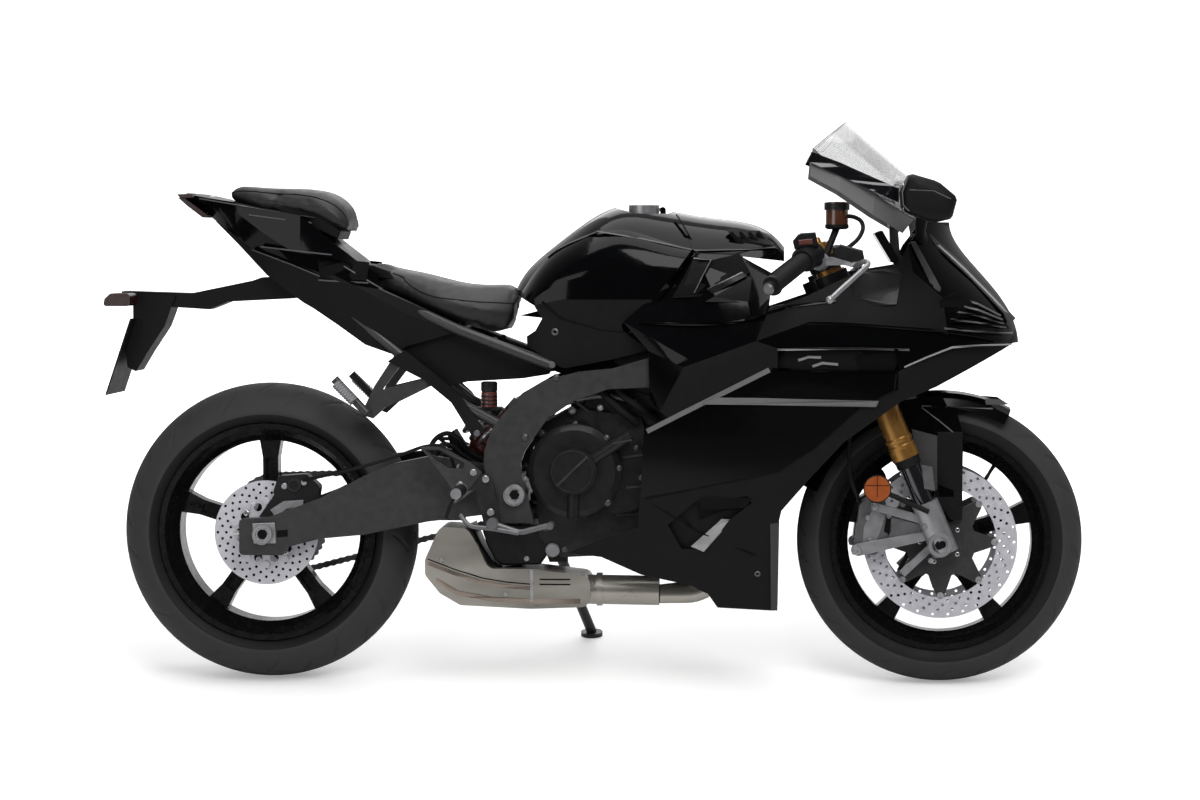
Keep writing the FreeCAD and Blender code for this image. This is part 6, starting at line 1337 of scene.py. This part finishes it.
def tail_details():
    """Edges with painted highlights, ducts with painted highlights on their lips, bolts, blank plate and lamp of the
    tail, and the passenger's pegs.
    """
    tail = ["tail_cowl", "tail_covers"]
    # Pale lines along the tail's edges: painted highlights on the gloss cowl.
    facets("tail_edge_highlights", PALE, [
        lane([(196, 198), (250, 207), (313, 217)], 1.3), lane([(246, 214.5), (280, 219), (310, 222.5)], 1.2),
        lane([(258, 246.5), (292, 250.5), (330, 254.6)], 1.3), lane([(249, 249.5), (288, 264), (327, 280)], 1.2),
    ], 0.0009, names=tail)
    facets("tail_ducts", DARK, [[(315, 257), (368, 262), (365, 280.5), (318, 278.5)]], 0.001, names=tail)
    # Pale lines on the duct lips: painted highlights.
    facets("tail_duct_lip_highlights", PALE, [
        lane([(316, 280), (342, 281.6), (367, 282.8)], 1.6), lane([(342, 266), (362, 278), (381, 289)], 1.4),
    ], 0.0018, names=tail)
    knobs("tail_bolts", DULL, [
        (552, 365, ["subframe", "main_frame"], 0.007), (476, 434, ["subframe", "tail_covers"], 0.007),
        (475, 328, ["subframe", "tail_covers"], 0.007), (503, 337, ["subframe", "tail_covers"], 0.006),
    ], HEX, steps=20, both=True)

    def pads(grid):
        root, tip = seen(334, 384, 0.146), seen(352, 402, 0.152)
        for start, end in ((root, tip), (flip(root), flip(tip))):
            tube(grid, [start + (end - start) * (step / 18) for step in range(19)], 0.0120, 14, 0, 0, 0.84)
    shape_object("passenger_peg_pads", "chassis", ALLOY, pads)
    plates("tail_fillers", MATT, [
        ([(268, 205), (312, 208), (339, 231), (336, 239), (300, 222)], 0.085, 0.17),
        ([(360, 263.5), (372, 265), (388, 271), (394, 280), (372, 277)], 0.074, 0.148),
    ], chamfer=0.002)

    def plate(grid):
        corners = ((-0.086, 0.755), (0.086, 0.755), (0.086, 0.625), (-0.086, 0.625))
        tree = tree_of(["plate_holder"])
        spots = [tree.ray_cast(Vector((-1.4, y, z)), AHEAD)[0] for y, z in corners]
        out = (spots[1] - spots[0]).cross(spots[3] - spots[0]).normalized()
        out = out if out.x < 0 else -out
        middle = sum(spots, Vector()) / 4
        rows = []
        for grow, lift in ((1.0, -0.0005), (1.0, 0.0008), (0.985, 0.0013)):
            rows.append([grid.verts.new(middle + (spot - middle) * grow + out * lift) for spot in spots])
        for low, high in zip(rows, rows[1:]):
            banded(grid, low, high)
        grid.faces.new(rows[0])
        grid.faces.new(rows[-1])
    shape_object("blank_plate", "chassis", PLATE, plate, 20)

    def lamp(grid):
        outline = [seen(x, y, 0.020) for x, y in ((177, 194), (192, 193.5), (193, 197.5), (180, 198))]
        for side in SIDES:
            slab(grid, outline, side * 0.004, side * 0.060, 0.001)
    shape_object("tail_light_bar", "chassis", LAMP_RED, lamp)


tyres()
front_brakes()
wheel_details()
seats()
body_lines()
duct_details()
nose_details()
inset_details()
screen_details()
mirrors_made()
control_details()
fender_details()
fork_details()
engine_details()
control_plates()
muffler_details()
rear_details()
tail_details()


# Staging
def mixed(tree, kind, given, operation=None):
    """New node whose first inputs are fed by the given outputs."""
    node = tree.nodes.new(kind)
    if operation:
        node.operation = operation
    for place, value in enumerate(given):
        tree.links.new(value, node.inputs[place])
    return node


def lay_floor():
    """Pale floor that fades to white for the camera away from the bike."""
    material, tree, bsdf = shader("pale_floor")
    pale = tinted(tree, grain(tree, 3, 2.0), (0.80, 0.80, 0.80), (0.83, 0.83, 0.83))
    tree.links.new(pale, bsdf.inputs["Base Color"])
    bsdf.inputs["Roughness"].default_value = 0.6
    place = tree.nodes.new("ShaderNodeTexCoord")
    far = mixed(tree, "ShaderNodeVectorMath", [place.outputs["Object"]], "LENGTH")
    fade = spread(tree, far.outputs["Value"], 0.30, 1.0, 1.3, 2.6)
    path = tree.nodes.new("ShaderNodeLightPath")
    share = mixed(tree, "ShaderNodeMath", [path.outputs["Is Camera Ray"], fade], "MULTIPLY")
    glow = tree.nodes.new("ShaderNodeEmission")
    glow.inputs["Color"].default_value = (1, 1, 1, 1)
    tree.links.new(share.outputs[0], glow.inputs["Strength"])
    both = mixed(tree, "ShaderNodeAddShader", [bsdf.outputs[0], glow.outputs[0]])
    tree.links.new(both.outputs[0], tree.nodes["Material Output"].inputs["Surface"])
    mesh = bpy.data.meshes.new("floor")
    mesh.from_pydata([(-30, -30, 0), (30, -30, 0), (30, 30, 0), (-30, 30, 0)], [], [(0, 1, 2, 3)])
    floor = bpy.data.objects.new("floor", mesh)
    bpy.context.scene.collection.objects.link(floor)
    mesh.materials.append(material)


def light_up():
    """White surroundings that the camera sees, a dimmer sky that lights the bike, and soft lamps."""
    world = bpy.data.worlds.new("studio")
    bpy.context.scene.world = world
    world.use_nodes = True
    tree = world.node_tree
    sky = tree.nodes["Background"]
    white = tree.nodes.new("ShaderNodeBackground")
    for background in (sky, white):
        background.inputs["Color"].default_value = (1, 1, 1, 1)
    place = tree.nodes.new("ShaderNodeTexCoord")
    split = mixed(tree, "ShaderNodeSeparateXYZ", [place.outputs["Generated"]])
    tree.links.new(spread(tree, split.outputs["Y"], 0.06, 0.70, -0.4, 0.9), sky.inputs["Strength"])
    path = tree.nodes.new("ShaderNodeLightPath")
    rays = [path.outputs["Is Camera Ray"], path.outputs["Is Transmission Ray"]]
    clear = mixed(tree, "ShaderNodeMath", rays, "MAXIMUM")
    mix = mixed(tree, "ShaderNodeMixShader", [clear.outputs[0], sky.outputs[0], white.outputs[0]])
    tree.links.new(mix.outputs[0], tree.nodes["World Output"].inputs["Surface"])
    for name, place, size, power in (
        ("key", (1.5, -3.0, 4.5), 3.0, 190),
        ("fill", (-3.0, -4.5, 2.5), 3.0, 70),
        ("top", (0.0, 0.5, 4.5), 3.5, 130),
        ("back", (0.0, 4.5, 3.0), 3.0, 60),
    ):
        lamp = bpy.data.lights.new(name, "AREA")
        lamp.energy = power
        lamp.size = size
        light = bpy.data.objects.new(name, lamp)
        bpy.context.scene.collection.objects.link(light)
        light.location = place
        light.rotation_euler = (Vector((0, 0, 0.5)) - Vector(place)).to_track_quat("-Z", "Y").to_euler()


def set_camera():
    """The picture's camera, with its upright along the leaning bike's."""
    data = bpy.data.cameras.new("camera")
    data.lens = 93.96
    data.sensor_width = 36
    data.clip_end = 100
    camera = bpy.data.objects.new("camera", data)
    bpy.context.scene.collection.objects.link(camera)
    eye = PARK @ EYE
    back = (eye - PARK @ EYE_AIM).normalized()
    right = (PARK.to_3x3() @ UP).cross(back).normalized()
    turn = Matrix((right, back.cross(right), back)).transposed().to_4x4()
    camera.matrix_world = Matrix.Translation(eye) @ turn
    bpy.context.scene.camera = camera
    bpy.context.scene.view_settings.view_transform = "Standard"


lay_floor()
light_up()
set_camera()
